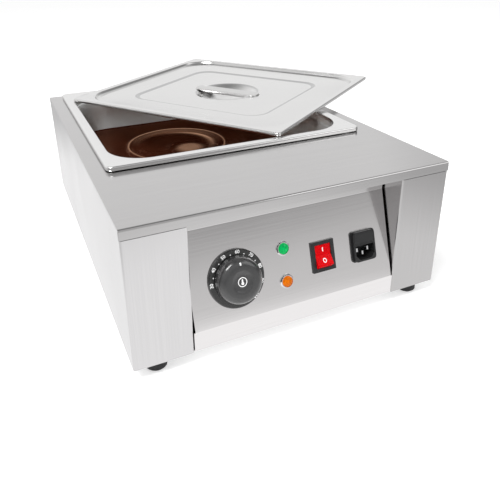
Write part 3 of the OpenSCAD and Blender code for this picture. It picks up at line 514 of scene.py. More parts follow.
FINISH["panel_steel"] = panel_finish()
FINISH["lid_steel"] = lid_finish()
FINISH["pan_steel"] = pan_finish()
FINISH["chocolate"] = chocolate_finish()
FINISH["fuse_glass"] = glass_finish()


def coat(piece, finish, slot=None, body=None, instead_of=()):
    """Gives a piece its finish, the body it rides on and what it replaces. The slot argument is
    not used.
    """
    piece.data.materials.clear()
    piece.data.materials.append(FINISH[finish])
    if body:
        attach(piece, body)
    if instead_of:
        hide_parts(*instead_of)
    return piece


# %% [markdown]
# ## The sheet metal and the small solids
# These solids already have the right shape, so they only take their finish. Their object
# sits at the origin, and only its material slots change.

# %% Finishes of the solids
SOLIDS = {
    "deck_steel_shaded_copy": ["top_deck"],
    "left_steel_lit_copy": ["left_side_panel"],
    "right_steel_shaded_copy": ["right_side_panel"],
    "panel_steel": ["control_panel"],
    "back_steel": ["back_panel"],
    "base_steel": ["base_plate"],
    "tank_steel": ["water_tank", "bulb_clip"],
    "pan_steel": ["food_pan"],
    "lid_steel": ["lid"],
    "strap_steel": ["lid_handle"],
    "chocolate": ["chocolate"],
    "wool": ["insulation"],
    "element_tube": ["heating_element"],
    "brass": ["element_glands", "element_nuts", "switch_terminals"],
    "ceramic": ["element_terminals", "terminal_block"],
    "bakelite": ["thermostat_body"],
    "copper": ["thermostat_capillary"],
    "dial_black": ["dial_ring"],
    "knob_black": ["knob"],
    "chrome": ["lamp_bezels", "inlet_pins"],
    "green_lens": ["green_lens"],
    "orange_lens": ["orange_lens"],
    "socket_black": ["switch_frame", "inlet_housing", "fuse_drawer"],
    "rocker_red": ["rocker_button"],
    "fuse_glass": ["fuse"],
    "wire": ["wiring"],
    "zinc": ["knob_shaft", "lamp_nuts", "terminal_screws", "case_screws", "foot_screws",
             "foot_nuts"],
    "foot_rubber": ["foot_front_left", "foot_front_right", "foot_back_left",
                    "foot_back_right"],
}
dressed = []
for finish, names in SOLIDS.items():
    for name in names:
        nodes[name].data.materials.clear()
        nodes[name].data.materials.append(FINISH[finish])
        dressed.append(name)
print("dressed", len(dressed), "solids; left bare:", sorted(set(nodes) - set(dressed)))


# %% [markdown]
# ## The food pan
# A pressed pan is one sheet: a flat floor with a rounded foot, walls that lean out, a
# stacking shoulder just under the opening, a flat rim and a turned-down edge. The profile
# starts in the middle of the floor, climbs the inside, goes over the rim and comes back
# under the outside, so the skin is closed and has the sheet's thickness all over.

# %% Pan profile
PAN_HALF_W, PAN_HALF_L = 162.5, 177.0
PAN_SHEET = 0.8
PAN_DEPTH = 100.0
RIM_W = 12.5
OPENING_R = 45.0
RIM_R = 8.0
FLOOR_R = 16.0
SHOULDER_H = 14.0
SHOULDER_IN = 2.2
WALL_LEAN = 8.4
EDGE_R = 1.8
FOLD_R = 1.6
FLOOR_INSET = 110.0
CORNER_SHRINK, CORNER_LEAST = 0.45, 2.0


def pan_side(shift):
    """Wall profile from the floor up to the rim, moved outwards by the shift: a quarter circle
    at the foot, a straight leaning wall, the shoulder and the rounded edge of the opening."""
    foot_r = FLOOR_R + shift
    floor_z = -(PAN_DEPTH - PAN_SHEET) - shift
    wall_d = RIM_W + WALL_LEAN - shift
    foot = arc(wall_d + foot_r, floor_z + foot_r, foot_r, 270, 180, 9)
    shoulder = [
        (RIM_W + SHOULDER_IN - shift, -SHOULDER_H - shift),
        (RIM_W + 0.6 * SHOULDER_IN - shift, -SHOULDER_H + 0.8 - shift),
        (RIM_W + 0.1 * SHOULDER_IN - shift, -SHOULDER_H + 2.2 - shift),
        (RIM_W - shift, -SHOULDER_H + 3.2 - shift),
    ]
    edge = arc(RIM_W - EDGE_R, -EDGE_R, EDGE_R - shift, 0, 90, 6)
    return foot + shoulder + edge


def pan_corner(inset):
    """Corner radius: small at the outer edge, large from the opening inwards."""
    share = min(max(inset / (RIM_W - EDGE_R), 0), 1)
    share = share * share * (3 - 2 * share)
    shrink = max(inset - RIM_W, 0)
    return max(RIM_R + (OPENING_R - RIM_R) * share - CORNER_SHRINK * shrink, CORNER_LEAST)


inside = pan_side(0.0)
outside = pan_side(PAN_SHEET)
fold_out = arc(FOLD_R, -FOLD_R, FOLD_R, 90, 180, 7)
fold_in = arc(FOLD_R, -FOLD_R, FOLD_R - PAN_SHEET, 180, 90, 7)
pan_profile = (
    [(FLOOR_INSET, inside[0][1])] + inside + fold_out
    + [(0.0, -RIM_H + 1.3), (0.25, -RIM_H + 0.9), (PAN_SHEET - 0.2, -RIM_H + 0.9),
       (PAN_SHEET, -RIM_H + 1.3)]
    + fold_in + outside[::-1] + [(FLOOR_INSET, outside[0][1])]
)

# %% Pan
pan_rings = pressed(PAN_HALF_W, PAN_HALF_L, pan_profile, pan_corner)
pan_rings += np.array([PAN_X, PAN_Y, PAN_TOP])
pan = skin("pan_skin", pan_rings,
           [PAN_X, PAN_Y, PAN_TOP + inside[0][1]], [PAN_X, PAN_Y, PAN_TOP + outside[0][1]])
coat(outwards(pan), "pan_steel", "pan_steel", "pan", ["food_pan"])


# %% [markdown]
# ## The chocolate
# The surface has just been stirred: a thin raised ring, a softer ring inside it and a low
# mound. It was stirred round a point a little behind and to the left of the pan's middle, so
# each ring is a bell curve of the distance from that point. The grid is made of circles about
# the same point, which keeps the rings smooth, and past them it stretches out to the wall.

# %% Chocolate surface
CHOC_H = 37.0
CHOC_LEVEL = -PAN_DEPTH + PAN_SHEET + CHOC_H
CHOC_GAP = 0.25
CLIMB, CLIMB_W = 0.9, 4.0
SWIRL_X, SWIRL_Y = -18.5, 33.5
SWIRL_R = 72.0
SOFT_R = 52.0
CALM_R = 84.0
MOUND_X, MOUND_Y = -6.0, 9.0
MOUND_R = 20.0


def bell(value, middle, width):
    """A bell curve: 1 at the middle, fading over the width."""
    return np.exp(-((value - middle) / width) ** 2)


def swirl(x, y):
    """Distance and angle about the swirl, and distance from the mound."""
    away = np.hypot(x - SWIRL_X, y - SWIRL_Y)
    angle = np.arctan2(y - SWIRL_Y, x - SWIRL_X)
    return away, angle, np.hypot(x - MOUND_X, y - MOUND_Y)


def stirred(x, y):
    """Height over the level: two rings, a trough between them and a mound with a moat."""
    away, angle, heap = swirl(x, y)
    rings = 2.2 * bell(away, SWIRL_R, 4.5) + 1.3 * bell(away, SOFT_R, 8.0)
    trough = 0.8 * bell(away, SWIRL_R - 8.5, 5.0)
    mound = 2.2 * np.exp(-(heap / MOUND_R) ** 4)
    return rings - trough + mound - bell(heap, MOUND_R + 9.0, 7.0)


def wall_inset(height):
    """Inset of the pan's leaning wall at a height, from the outer edge."""
    low = -(PAN_DEPTH - PAN_SHEET) + FLOOR_R
    share = (-SHOULDER_H - height) / (-SHOULDER_H - low)
    return RIM_W + SHOULDER_IN + (WALL_LEAN - SHOULDER_IN) * share


choc_inset = wall_inset(CHOC_LEVEL) + CHOC_GAP
edge = rounded(PAN_HALF_W - choc_inset, PAN_HALF_L - choc_inset, pan_corner(choc_inset))
ray = edge - np.array([SWIRL_X, SWIRL_Y])
length = np.linalg.norm(ray, axis=1)
circles = np.concatenate([np.linspace(0.5, 50.0, 60), np.linspace(50.4, CALM_R, 84)])
share = np.linspace(0, 1, 61)[1:, None]
away = np.vstack([np.repeat(circles[:, None], len(edge), axis=1),
                  CALM_R + share * (length - CALM_R)])
top = np.array([SWIRL_X, SWIRL_Y]) + (ray / length[:, None]) * away[..., None]
off_wall = np.clip((length - away) / CLIMB_W, 0, 1)
climb = CLIMB * (1 - off_wall) ** 2
top_z = CHOC_LEVEL + stirred(top[..., 0], top[..., 1]) * off_wall + climb
top_rings = np.concatenate([top, top_z[..., None]], -1)
foot_d = RIM_W + WALL_LEAN + FLOOR_R
foot_z = -(PAN_DEPTH - PAN_SHEET) + FLOOR_R
below = arc(foot_d, foot_z, FLOOR_R - CHOC_GAP, 180, 270, 9)
below.append((FLOOR_INSET, below[-1][1]))
under_rings = pressed(PAN_HALF_W, PAN_HALF_L, below, pan_corner)
choc_rings = np.concatenate([top_rings, under_rings]) + np.array([PAN_X, PAN_Y, PAN_TOP])
choc = skin("stirred_chocolate", choc_rings,
            [PAN_X + SWIRL_X, PAN_Y + SWIRL_Y, choc_rings[0, :, 2].mean()],
            [PAN_X, PAN_Y, PAN_TOP + below[-1][1]])
coat(outwards(choc), "chocolate", "chocolate", "pan", ["chocolate"])


# %% Painted highlights on the chocolate
RING_ANGLE, SOFT_ANGLE = 1.3, 0.5


def painted_highlight(x, y):
    """Painted highlights on the chocolate: a thin line on the outer ring, a softer arc inside
    it and a patch on the mound, each fading with the angle round the swirl."""
    away, angle, heap = swirl(x, y)
    lit = np.clip(np.cos((angle - RING_ANGLE) / 2), 0, 1) ** 6
    line = bell(away, SWIRL_R + 1.0, 1.2) * (0.3 + 0.7 * lit)
    glow = 0.22 * bell(away, SWIRL_R - 5.0, 6.0) * np.clip(np.cos(angle - RING_ANGLE), 0, 1)
    soft = 0.55 * bell(away, SOFT_R + 2.0, 5.0) * np.clip(np.cos(angle - SOFT_ANGLE), 0, 1) ** 2
    return np.clip(line + glow + soft + 0.36 * np.exp(-(heap / MOUND_R) ** 6), 0, 1)


mesh = choc.data
spots = np.zeros(len(mesh.vertices) * 3)
mesh.vertices.foreach_get("co", spots)
spots = spots.reshape(-1, 3) / MM - np.array([PAN_X, PAN_Y, 0])
# The attribute "stirred" carries the painted highlights into the chocolate's finish.
highlight_share = mesh.attributes.new("stirred", "FLOAT", "POINT")
highlight_share.data.foreach_set("value", painted_highlight(spots[:, 0], spots[:, 1]))
print("palest chocolate:", round(float(painted_highlight(spots[:, 0], spots[:, 1]).max()), 2))


# %% [markdown]
# ## The lid
# The lid is pressed from one sheet too: a turned-down skirt, a flat border, a step that
# drops inside the opening, a gentle slope, a flat middle and a round dish for the fingers.
# Past the middle's outline the rings turn into circles, by pushing each point out or in
# along its own direction from the centre.

# %% Lid profile
LID_HALF_W, LID_HALF_L = 177.0, 162.5
LID_R, STEP_CORNER, CORNER_FALL = 5.0, 45.0, 22.0
SKIRT, SKIRT_R = 4.5, 1.8
BORDER = 11.0
STEP = 5.0
FALL = 2.0
SLOPE_W = 54.0
STEP_R = 2.0
DISH_R = 50.0
DISH_DEPTH = 14.0
FLAT_Z = -STEP - FALL
BALL_R = (DISH_R ** 2 + DISH_DEPTH ** 2) / 2 / DISH_DEPTH


def lid_side(shift):
    """Profile from the edge of the skirt inwards, moved down by the shift: border, rounded
    step, slope and a last small drop to the flat middle."""
    flat = BORDER + SLOPE_W
    return (
        [(BORDER - STEP_R, -shift)]
        + arc(BORDER - STEP_R, -STEP_R, STEP_R - 0.6 * shift, 80, 15, 5)
        + [(BORDER + 1.0 - 0.6 * shift, -STEP + 1.2 - shift),
           (BORDER + 1.8, -STEP + 0.4 - shift),
           (BORDER + 3.4, -STEP - 0.05 - shift),
           (flat - 6.5, -STEP - 0.4 - shift),
           (flat - 5.5, -STEP - 0.5 - shift),
           (flat - 1.0, FLAT_Z + 0.12 - shift),
           (flat, FLAT_Z - shift)]
    )


def lid_corner(inset):
    """Corner radius: small at the skirt, large round the step, smaller round the middle."""
    rise = min(max((inset - 1.0) / (BORDER - 3.0), 0), 1)
    fall = min(max((inset - BORDER - 4.0) / SLOPE_W, 0), 1)
    return LID_R + (STEP_CORNER - LID_R) * rise - CORNER_FALL * fall


def dish_rings(shift):
    """Circles from the edge of the dish to near its middle: a small rounded edge, then the
    part of a ball."""
    sag = [(DISH_R + 3.0, FLAT_Z - shift), (DISH_R + 1.0, FLAT_Z - 0.15 - shift),
           (DISH_R - 0.5, FLAT_Z - 0.8 - shift)]
    for radius in np.linspace(DISH_R - 2.5, 2.0, 22):
        ball = math.sqrt(BALL_R ** 2 - radius ** 2) - (BALL_R - DISH_DEPTH)
        sag.append((radius, FLAT_Z - ball - shift))
    base = rounded(LID_HALF_W - BORDER - SLOPE_W, LID_HALF_L - BORDER - SLOPE_W, 22.5)
    aim = base / np.linalg.norm(base, axis=1, keepdims=True)
    return [np.column_stack([aim * radius, np.full(len(aim), height)])
            for radius, height in sag]


# %% Lid
skirt_out = arc(SKIRT_R, -SKIRT_R, SKIRT_R, 90, 180, 6)
skirt_in = arc(SKIRT_R, -SKIRT_R, SKIRT_R - PAN_SHEET, 180, 90, 6)
bottom_edge = [(0.0, -SKIRT + 0.3), (0.2, -SKIRT), (PAN_SHEET - 0.2, -SKIRT),
               (PAN_SHEET, -SKIRT + 0.3)]
over = lid_side(0.0)[::-1] + skirt_out + bottom_edge
over_rings = pressed(LID_HALF_W, LID_HALF_L, over, lid_corner)
below_rings = pressed(LID_HALF_W, LID_HALF_L, skirt_in + lid_side(PAN_SHEET), lid_corner)
lid_rings = np.concatenate([dish_rings(0.0)[::-1], over_rings, below_rings,
                            dish_rings(PAN_SHEET)])
lid_low = FLAT_Z - DISH_DEPTH
lid = skin("lid_skin", on_lid(lid_rings), on_lid([0, 0, lid_low]),
           on_lid([0, 0, lid_low - PAN_SHEET]))
coat(outwards(lid), "lid_steel", "pan_steel", "lid", ["lid"])

# %% Painted shade in the creases of the lid
# Painted shade: how dark each ring of the lid is painted, deepest at the last drop and the
# dish's edge.
drop_in, drop_out = BORDER + SLOPE_W - 6.0, BORDER + SLOPE_W - 0.5
over_shade = [1.0 if drop_in < inset < drop_out else 0.0 for inset, height in over]
over_shade = [0.35 if BORDER < inset < BORDER + 2.5 else dark
               for (inset, height), dark in zip(over, over_shade)]
dish_shade = [0.0, 0.2, 1.0, 0.5] + [0.0] * (len(dish_rings(0.0)) - 4)
ring_shade = dish_shade[::-1] + over_shade
ring_shade += [0.0] * (len(lid_rings) - len(ring_shade))
crease_shade = np.append(np.repeat(ring_shade, lid_rings.shape[1]), [0.0, 0.0])
lid.data.attributes.new("crease_shade", "FLOAT", "POINT").data.foreach_set("value", crease_shade)
print("creased rings:", sum(dark > 0 for dark in ring_shade))


# %% [markdown]
# ## The handle strap
# A strap with folded edges bridges the dish, level with the lid. Its cross-section is a
# shallow channel with rounded shoulders. Carried along the strap, it keeps its width over
# the dish and narrows to a rounded tab at each end, where it is welded down.

# %% Strap
STRAP_W = 24.0
STRAP_T = 1.5
STRAP_REACH = DISH_R + 7.0
STRAP_FOLD = 3.0
STRAP_TAB = 7.0
CROWN = 0.25
WELD_GAP = 0.02


def strap_section(half_w, fold, crown):
    """Closed outline of the channel, once round: over the top from left to right with
    rounded shoulders, and back under it inside the folds."""
    shoulder = np.radians(np.linspace(90, 0, 6))
    radius = min(1.6, STRAP_T, half_w)
    right = [(half_w - radius + radius * math.cos(t), STRAP_T - radius + radius * math.sin(t))
             for t in shoulder]
    outer = right + [(half_w, -fold)]
    inner = [(half_w - 1.2, -fold), (half_w - 1.2, -0.02), (half_w * 0.5, 0.0)]
    half = [(0.0, STRAP_T + crown), (half_w * 0.5, STRAP_T + 0.8 * crown)] + outer + inner
    mirror = [(-y, z) for y, z in reversed(half[1:])]
    return np.array(half + [(0.0, 0.0)] + mirror)


along = np.concatenate([np.linspace(-1, -0.8, 9), np.linspace(-0.78, 0.78, 25),
                        np.linspace(0.8, 1, 9)]) * STRAP_REACH
strap_rings = []
for x in along:
    end = np.clip((STRAP_REACH - abs(x)) / STRAP_TAB, 0.0, 1.0)
    half_w = 1.0 + (STRAP_W / 2 - 1.0) * math.sqrt(1 - (1 - end) ** 2)
    fold = STRAP_FOLD * np.clip((DISH_R - 8.0 - abs(x)) / 4.0, 0.0, 1.0)
    section = strap_section(half_w, fold - WELD_GAP, CROWN * end)
    strap_rings.append(np.column_stack([np.full(len(section), x), section]))
strap_rings = np.array(strap_rings) + np.array([0, 0, FLAT_Z + WELD_GAP])
strap = skin("handle_strap", on_lid(strap_rings), on_lid(strap_rings[0].mean(0)),
             on_lid(strap_rings[-1].mean(0)))
coat(outwards(strap), "strap_steel", "pan_steel", "lid", ["lid_handle"])


# %% [markdown]
# ## The knob
# The knob is a turned form: a hollow cap with a straight side, a wide rounded shoulder and a
# shallow dish in the face. Its profile is given as radius and height over the panel.

# %% Knob
DIAL_X, DIAL_S = 114.0, 44.0
KNOB_BASE = 3.6
KNOB_TOP = 17.6
KNOB_R = 24.5
KNOB_DISH = 1.0
BORE_R, BORE_END = 3.1, KNOB_TOP - 5.4
HUB_R = 6.0
dish = [(2.0, KNOB_TOP - KNOB_DISH), (6.5, KNOB_TOP - KNOB_DISH), (8.6, KNOB_TOP - 0.85),
        (10.2, KNOB_TOP - 0.35), (11.4, KNOB_TOP - 0.05), (12.6, KNOB_TOP),
        (14.4, KNOB_TOP - 0.08)]
shoulder = arc(16.3, KNOB_TOP - 7.4, 7.3, 86, 8, 14)
skirt = [(KNOB_R - 0.5, KNOB_BASE + 5.0), (KNOB_R - 0.1, KNOB_BASE + 1.4),
         (KNOB_R, KNOB_BASE + 0.8), (KNOB_R - 0.3, KNOB_BASE + 0.1), (KNOB_R - 0.8, KNOB_BASE)]
hollow = [(KNOB_R - 2.0, KNOB_BASE + 0.2), (KNOB_R - 2.3, KNOB_TOP - 6.0),
          (KNOB_R - 5.0, KNOB_TOP - 3.0), (HUB_R, KNOB_TOP - 3.0), (HUB_R, KNOB_BASE + 0.5),
          (BORE_R, KNOB_BASE + 0.3), (BORE_R, BORE_END)]
knob_profile = dish + shoulder + skirt + hollow
knob_rings = revolve(knob_profile, DIAL_X, DIAL_S)
knob = skin("knob_cap", knob_rings,
            on_panel(DIAL_X, DIAL_S, 0.0, 0.0, KNOB_TOP - KNOB_DISH),
            on_panel(DIAL_X, DIAL_S, 0.0, 0.0, BORE_END))
coat(outwards(knob), "knob_black", "knob_black", "knob", ["knob"])


# %% [markdown]
# ## Marks on the dial
# The fixed ring carries plain numbers from 30 to 100 with a dot half way between two. The
# knob carries a white tick and a small thermometer in a ring. Each mark is a thin solid
# just proud of its surface. Numbers start as text and are made a mesh before they are put
# in place, so that the object itself stays at the origin.

# %% Marks
DIAL_FACE = 3.0
MARK_T = 0.12
FIRST_ANGLE = 181.5
LABEL_PITCH = 33.1
LABEL_R, LABEL_SIZE, BOLDER = 27.5, 5.0, 0.08
DOT_R, DOT_SIZE, DOT_STEPS = 25.9, 0.6, 14
PINHOLE = 0.02


def panel_matrix(x, s, angle, radius, height):
    """Placing matrix on the panel: the mark's own top points away from the dial's middle."""
    t = math.radians(angle)
    radial = ACROSS * math.cos(t) + UP_SLOPE * math.sin(t)
    side = ACROSS * math.sin(t) - UP_SLOPE * math.cos(t)
    at = on_panel(x, s, radius * math.cos(t), radius * math.sin(t), height) * MM
    return Matrix(np.block([[np.column_stack([side, radial, OUT]), at.reshape(3, 1)],
                            [np.zeros((1, 3)), np.ones((1, 1))]]).tolist())


def number(text, size, matrix, name):
    """A number as a thin solid: a text curve made a mesh, then placed in its mesh."""
    curve = bpy.data.curves.new(name, "FONT")
    curve.body = text
    curve.size = size * MM
    curve.extrude = MARK_T * MM / 2
    curve.offset = BOLDER * MM
    curve.align_x = "CENTER"
    curve.align_y = "CENTER"
    curve.resolution_u = 4
    holder = placed(name + "_text", curve)
    bpy.context.view_layer.update()
    graph = bpy.context.evaluated_depsgraph_get()
    mesh = bpy.data.meshes.new_from_object(holder.evaluated_get(graph))
    bpy.data.objects.remove(holder)
    mesh.transform(matrix)
    return mesh


def joined(name, meshes):
    """One object from several meshes, all of them already in place."""
    points, faces = [], []
    for mesh in meshes:
        start = len(points)
        points += [tuple(v.co) for v in mesh.vertices]
        faces += [[start + i for i in polygon.vertices] for polygon in mesh.polygons]
    mesh = bpy.data.meshes.new(name)
    mesh.from_pydata(points, [], faces)
    mesh.update()
    return placed(name, mesh)


def circle(radius, steps):
    """Points of a circle: radius * (cos t, sin t), with t once round."""
    angle = np.linspace(0, 2 * math.pi, steps, endpoint=False)
    return radius * np.stack([np.cos(angle), np.sin(angle)], -1)


def flat_mark(outline, hole, low, high, place):
    """Rings of a thin flat solid from low to high. The hole is a share of the outline, and
    place(x, y, height) gives the points of a surface."""
    x, y = outline.T
    return np.array([place(x * share, y * share, np.full(len(x), height)) for share, height
                     in ((hole, high), (1, high), (1, low), (hole, low))])


def on_dial(across, up):
    """Placing function for a flat mark: steps from a spot beside the dial's middle."""
    return lambda x, y, height: on_panel(DIAL_X, DIAL_S, across + x, up + y, height)


labels = []
for k in range(8):
    spot = panel_matrix(DIAL_X, DIAL_S, FIRST_ANGLE - k * LABEL_PITCH, LABEL_R,
                        DIAL_FACE + MARK_T / 2)
    labels.append(number(str(30 + 10 * k), LABEL_SIZE, spot, f"label_{k}"))
numbers = joined("dial_numbers", labels)
coat(numbers, "mark_white", "dial_black", "housing")
print("dial labels:", len(labels), "meshes")

# %% Dots between the numbers
dot_points, dot_faces = np.zeros((0, 3)), []
for k in range(7):
    t = math.radians(FIRST_ANGLE - (k + 0.5) * LABEL_PITCH)
    rings = flat_mark(circle(DOT_SIZE, DOT_STEPS), PINHOLE / DOT_SIZE, DIAL_FACE - 0.01,
                      DIAL_FACE + MARK_T, on_dial(DOT_R * math.cos(t), DOT_R * math.sin(t)))
    dot_faces += grid_faces(4, DOT_STEPS, round_rows=True, start=len(dot_points))
    dot_points = np.vstack([dot_points, rings.reshape(-1, 3)])
dots = outwards(add_mesh("dial_dots", dot_points, dot_faces, smooth=False))
coat(dots, "mark_white", "dial_black", "housing")


# %% [markdown]
# The thermometer is a bulb with a stem, inside a ring. All three are flat marks at the
# bottom of the knob's dish, and the white tick lies across the knob's upper edge.

# %% Thermometer mark and tick
RING_MARK_R, RING_MARK_IN = 4.9, 4.1
STEM_UP, BULB_UP, TICK_UP = 0.9, -1.5, 18.2
BULB_R = 1.45
low, high = KNOB_TOP - KNOB_DISH - 0.05, KNOB_TOP - KNOB_DISH + 0.1
knob_marks = {
    "knob_ring_mark": (circle(RING_MARK_R, 48), RING_MARK_IN / RING_MARK_R, low, high,
                       on_dial(0, 0)),
    "knob_stem_mark": (rounded(0.75, 2.0, 0.7), PINHOLE, low, high, on_dial(0, STEM_UP)),
    "knob_bulb_mark": (circle(BULB_R, 24), PINHOLE / BULB_R, low, high + 0.01,
                       on_dial(0, BULB_UP)),
    "knob_tick": (rounded(0.8, 1.6, 0.5), PINHOLE, KNOB_TOP - 1.6, KNOB_TOP - 0.15,
                  on_dial(0, TICK_UP)),
}
for name, mark in knob_marks.items():
    coat(outwards(skin(name, flat_mark(*mark))), "mark_white", "knob_black", "knob")


# %% [markdown]
# ## The rocker button
# The button is a shallow V seen from the side, with soft edges, tilted so that its upper
# half is pressed. Its ends are arcs about the pivot, which is why it never rubs its frame.
# The marks lie on the two halves of the V: a bar for on and a ring for off.

# %% Rocker
SWITCH_X, SOCKET_S = 216.0, 43.8
PIVOT_DEPTH = 4.0
ROCKER_HALF = 11.5
ROCKER_W = 19.0
ROCKER_TILT = math.radians(12.0)
ROCKER_MID = PIVOT_DEPTH + 1.2
ROCKER_END = PIVOT_DEPTH + 4.0


def rocker_point(across, along, out):
    """Local point of the level button about its pivot, tilted and put on the panel."""
    across, along, out = np.broadcast_arrays(across, along, out)
    up = along * math.cos(ROCKER_TILT) + out * math.sin(ROCKER_TILT)
    high = out * math.cos(ROCKER_TILT) - along * math.sin(ROCKER_TILT)
    return on_panel(SWITCH_X, SOCKET_S, across, up, high - PIVOT_DEPTH)


def rocker_outline(steps=7):
    """Side outline: the V over the top with a soft middle, an arc down each end, the back."""
    radius = math.hypot(ROCKER_HALF, ROCKER_END)
    start = math.atan2(ROCKER_END, ROCKER_HALF)
    angle = np.linspace(start, math.radians(-20), steps)
    ends = np.stack([radius * np.cos(angle), radius * np.sin(angle)], -1)
    spread = np.linspace(-1, 1, 25)
    height = ROCKER_MID + (ROCKER_END - ROCKER_MID) * np.sqrt(spread ** 2 + 0.004)
    height[[0, -1]] = ROCKER_END
    over = np.stack([spread * ROCKER_HALF, np.minimum(height, ROCKER_END)], -1)[1:-1]
    return np.vstack([over, ends, [[0, -6.0]], ends[::-1] * np.array([-1, 1])])


outline = rocker_outline()
middle = np.array([0.0, 1.0])
sides = []
for share, pull in ((-1, 0.55), (-0.995, 0.2), (-0.975, 0.05), (-0.94, 0), (0.94, 0),
                    (0.975, 0.05), (0.995, 0.2), (1, 0.55)):
    length = np.linalg.norm(outline - middle, axis=1, keepdims=True)
    ring = middle + (outline - middle) * (1 - pull / length)
    sides.append(rocker_point(share * ROCKER_W / 2, ring[:, 0], ring[:, 1]))
rocker = skin("rocker_cap", np.array(sides), rocker_point(-ROCKER_W / 2, *middle),
              rocker_point(ROCKER_W / 2, *middle))
coat(outwards(rocker), "rocker_red", "rocker_red", "rocker", ["rocker_button"])


# %% Marks of the rocker
def on_half(across, along, lift, side):
    """Point on one half of the V: along from the middle, lifted square to that half."""
    rise = math.atan2(ROCKER_END - ROCKER_MID, ROCKER_HALF)
    base = np.array([side * math.cos(rise), math.sin(rise)])
    square = np.array([-side * math.sin(rise), math.cos(rise)])
    spot = np.array([0, ROCKER_MID])[:, None] + base[:, None] * along + square[:, None] * lift
    return rocker_point(across, spot[0], spot[1])


MARK_ALONG, MARK_OUT, MARK_IN = 6.2, 0.12, -0.1
OFF_R, OFF_IN, OFF_SQUEEZE = 2.6, 1.7, 0.85
rocker_marks = {
    "rocker_bar_mark": (rounded(0.55, 2.3, 0.3), PINHOLE, 1),
    "rocker_ring_mark": (circle(OFF_R, 40) * (OFF_SQUEEZE, 1), OFF_IN / OFF_R, -1),
}
for name, (outline, hole, side) in rocker_marks.items():
    rings = flat_mark(outline, hole, MARK_IN, MARK_OUT, lambda x, y, lift: on_half(
        x, MARK_ALONG + y, lift, side))
    coat(outwards(skin(name, rings)), "mark_white", "rocker_red", "rocker")


# %% [markdown]
# ## Floor, light and camera
# The pot stands on a pale floor that runs on for ever. The floor and the background show as
# white to the camera through the light path. What the sheet metal mirrors is a studio: behind
# the pot the world is bright from the floor to half way up, in front of it it's dimmer, most of
# all a little over the horizon, and overhead it's dark all round. Two large soft lamps put a
# highlight on the rounded edges.

# %% Floor
FLOOR_GLOW = 0.5
FLOOR_NEAR = 1.0
FLOOR_FAR = 0.62
FADE_START, FADE_STOP = 0.5, 0.8
FADE_SQUEEZE = (1.4, 1.0, 1.0)
FLOOR_TONE = (0.86, 0.86, 0.86)
FLOOR_HALF = 6000.0


def by_ray(tree, ray, usual, other):
    """Shows the other shader to one kind of ray, and the usual one to all the rest."""
    path = new_node(tree, "LightPath", {})
    return new_node(tree, "MixShader", {0: path.outputs[ray], 1: usual.outputs[0],
                                        2: other.outputs[0]}).outputs[0]


def stage_floor():
    """A wide pale plane. The camera sees it lit, with the shadow. Mirrors see it even, bright
    round the pot and dimmer far away. The fade's start and stop are in metres."""
    corners = [(x * FLOOR_HALF, y * FLOOR_HALF, 0)
               for x, y in ((-1, -1), (1, -1), (1, 1), (-1, 1))]
    plane = add_mesh("floor", corners, [[0, 1, 2, 3]], smooth=False)
    material = bpy.data.materials.new("floor_pale")
    material.use_nodes = True
    tree = material.node_tree
    tree.nodes.clear()
    matt = new_node(tree, "BsdfDiffuse", {"Color": (*FLOOR_TONE, 1)})
    camera_ray = new_node(tree, "LightPath", {}).outputs["Is Camera Ray"]
    glow = new_node(tree, "Emission", {"Strength": ramped(tree, camera_ray, 0.0, FLOOR_GLOW)})
    lit = new_node(tree, "AddShader", {0: matt.outputs[0], 1: glow.outputs[0]})
    spread = new_node(tree, "Mapping", {"Vector": place_of(tree), "Scale": FADE_SQUEEZE})
    away = new_node(tree, "VectorMath", {0: spread.outputs["Vector"]}, operation="LENGTH")
    even = new_node(tree, "Emission", {"Strength": ramped(
        tree, away.outputs["Value"], FLOOR_NEAR, FLOOR_FAR, FADE_START, FADE_STOP)})
    new_node(tree, "OutputMaterial", {"Surface": by_ray(tree, "Is Glossy Ray", lit, even)})
    plane.data.materials.append(material)
    return plane


stage_floor()


# %% World
FRONT_SKY = [(0.0, 0.6), (0.06, 0.36), (0.13, 0.34), (0.3, 0.5), (0.7, 0.6), (0.95, 0.2)]
BACK_SKY = [(0.0, 0.85), (0.2, 0.88), (0.4, 0.95), (0.7, 0.8), (0.95, 0.2)]
BLEND = 0.2
RIGHT_LEVEL, RIGHT_START, RIGHT_STOP = 0.35, 0.6, 0.9


def sky():
    """Plain light by height, one ramp for the front and one for the back, and dimmer on the
    far right. White to the camera."""
    world = bpy.data.worlds.new("studio")
    bpy.context.scene.world = world
    world.use_nodes = True
    tree = world.node_tree
    tree.nodes.clear()
    direction = new_node(tree, "TexCoord", {}).outputs["Generated"]
    halves = []
    for steps in (FRONT_SKY, BACK_SKY):
        ramp = new_node(tree, "ValToRGB", {"Fac": axis_of(tree, direction, "Z")})
        while len(ramp.color_ramp.elements) < len(steps):
            ramp.color_ramp.elements.new(0.5)
        for element, (at, level) in zip(ramp.color_ramp.elements, steps):
            element.position = at
            element.color = (level, level, level, 1)
        halves.append(ramp.outputs["Color"])
    behind = ramped(tree, axis_of(tree, direction, "Y"), 0.0, 1.0, -BLEND, BLEND)
    aside = ramped(tree, axis_of(tree, direction, "X"), 1.0, RIGHT_LEVEL, RIGHT_START,
                   RIGHT_STOP)
    lit = new_node(tree, "Background", {"Color": tinted(tree, behind, *halves),
                                        "Strength": aside})
    seen = new_node(tree, "Background", {"Color": (1, 1, 1, 1)})
    new_node(tree, "OutputWorld", {"Surface": by_ray(tree, "Is Camera Ray", lit, seen)})


sky()


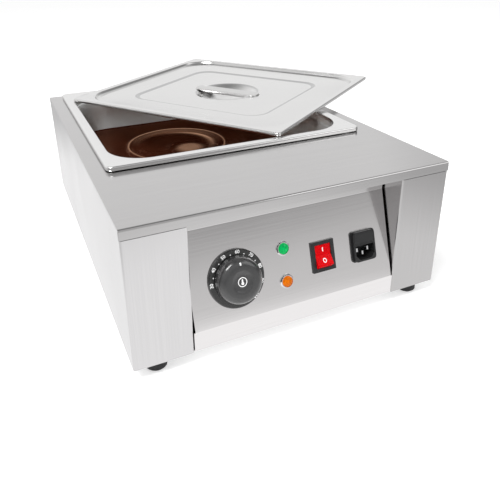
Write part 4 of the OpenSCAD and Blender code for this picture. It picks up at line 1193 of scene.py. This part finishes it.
# %% Lamps
def soft_lamp(name, place, target, size, power):
    """A square lamp that looks at the target. Places are in metres."""
    data = bpy.data.lights.new(name, "AREA")
    data.shape = "SQUARE"
    data.size = size
    data.energy = power
    lamp = placed(name, data)
    lamp.location = place
    lamp.rotation_euler = (Vector(target) - Vector(place)).to_track_quat("-Z", "Y").to_euler()
    return lamp


LAMP_TARGET = (0, 0, 0.1)
soft_lamp("key", (-1.15, -0.65, 2.35), LAMP_TARGET, 1.1, 40)
soft_lamp("fill", (1.8, -1.6, 1.6), LAMP_TARGET, 1.8, 10)


# %% [markdown]
# The camera stands to the left of the pot and looks down on it. Its place, turn, tilt and
# roll come from the straight edges of the housing, and the lens from how fast they converge.

# %% Camera
EYE = (-0.251776, -0.658565, 0.383913)
AZIMUTH, ELEVATION, ROLL = -0.42, 0.3997, -0.0128
FOCAL_PX, CENTRE_PX, PHOTO_PX = 538.92, (240.218, 176.685), 500
SENSOR = 36.0


def camera():
    """Camera from its azimuth, elevation and roll in radians, with the picture's centre
    shifted. Lens = focal length in pixels / width of the picture in pixels * sensor."""
    back = np.array([math.sin(AZIMUTH) * math.cos(ELEVATION),
                     -math.cos(AZIMUTH) * math.cos(ELEVATION), math.sin(ELEVATION)])
    right = np.array([math.cos(AZIMUTH), math.sin(AZIMUTH), 0.0])
    up = np.cross(back, right)
    right, up = (math.cos(ROLL) * right + math.sin(ROLL) * up,
                 -math.sin(ROLL) * right + math.cos(ROLL) * up)
    data = bpy.data.cameras.new("camera")
    data.sensor_width = SENSOR
    data.lens = FOCAL_PX / PHOTO_PX * SENSOR
    data.shift_x = (PHOTO_PX / 2 - CENTRE_PX[0]) / PHOTO_PX
    data.shift_y = (CENTRE_PX[1] - PHOTO_PX / 2) / PHOTO_PX
    data.clip_start = 0.01
    eye = placed("camera", data)
    turn = Matrix(np.column_stack([right, up, back]).tolist())
    eye.matrix_world = Matrix.Translation(EYE) @ turn.to_4x4()
    bpy.context.scene.camera = eye
    return eye


camera()
bpy.context.scene.view_settings.view_transform = "Standard"


# %% [markdown]
# Last, the view layer is updated.

# %% Finish
bpy.context.view_layer.update()
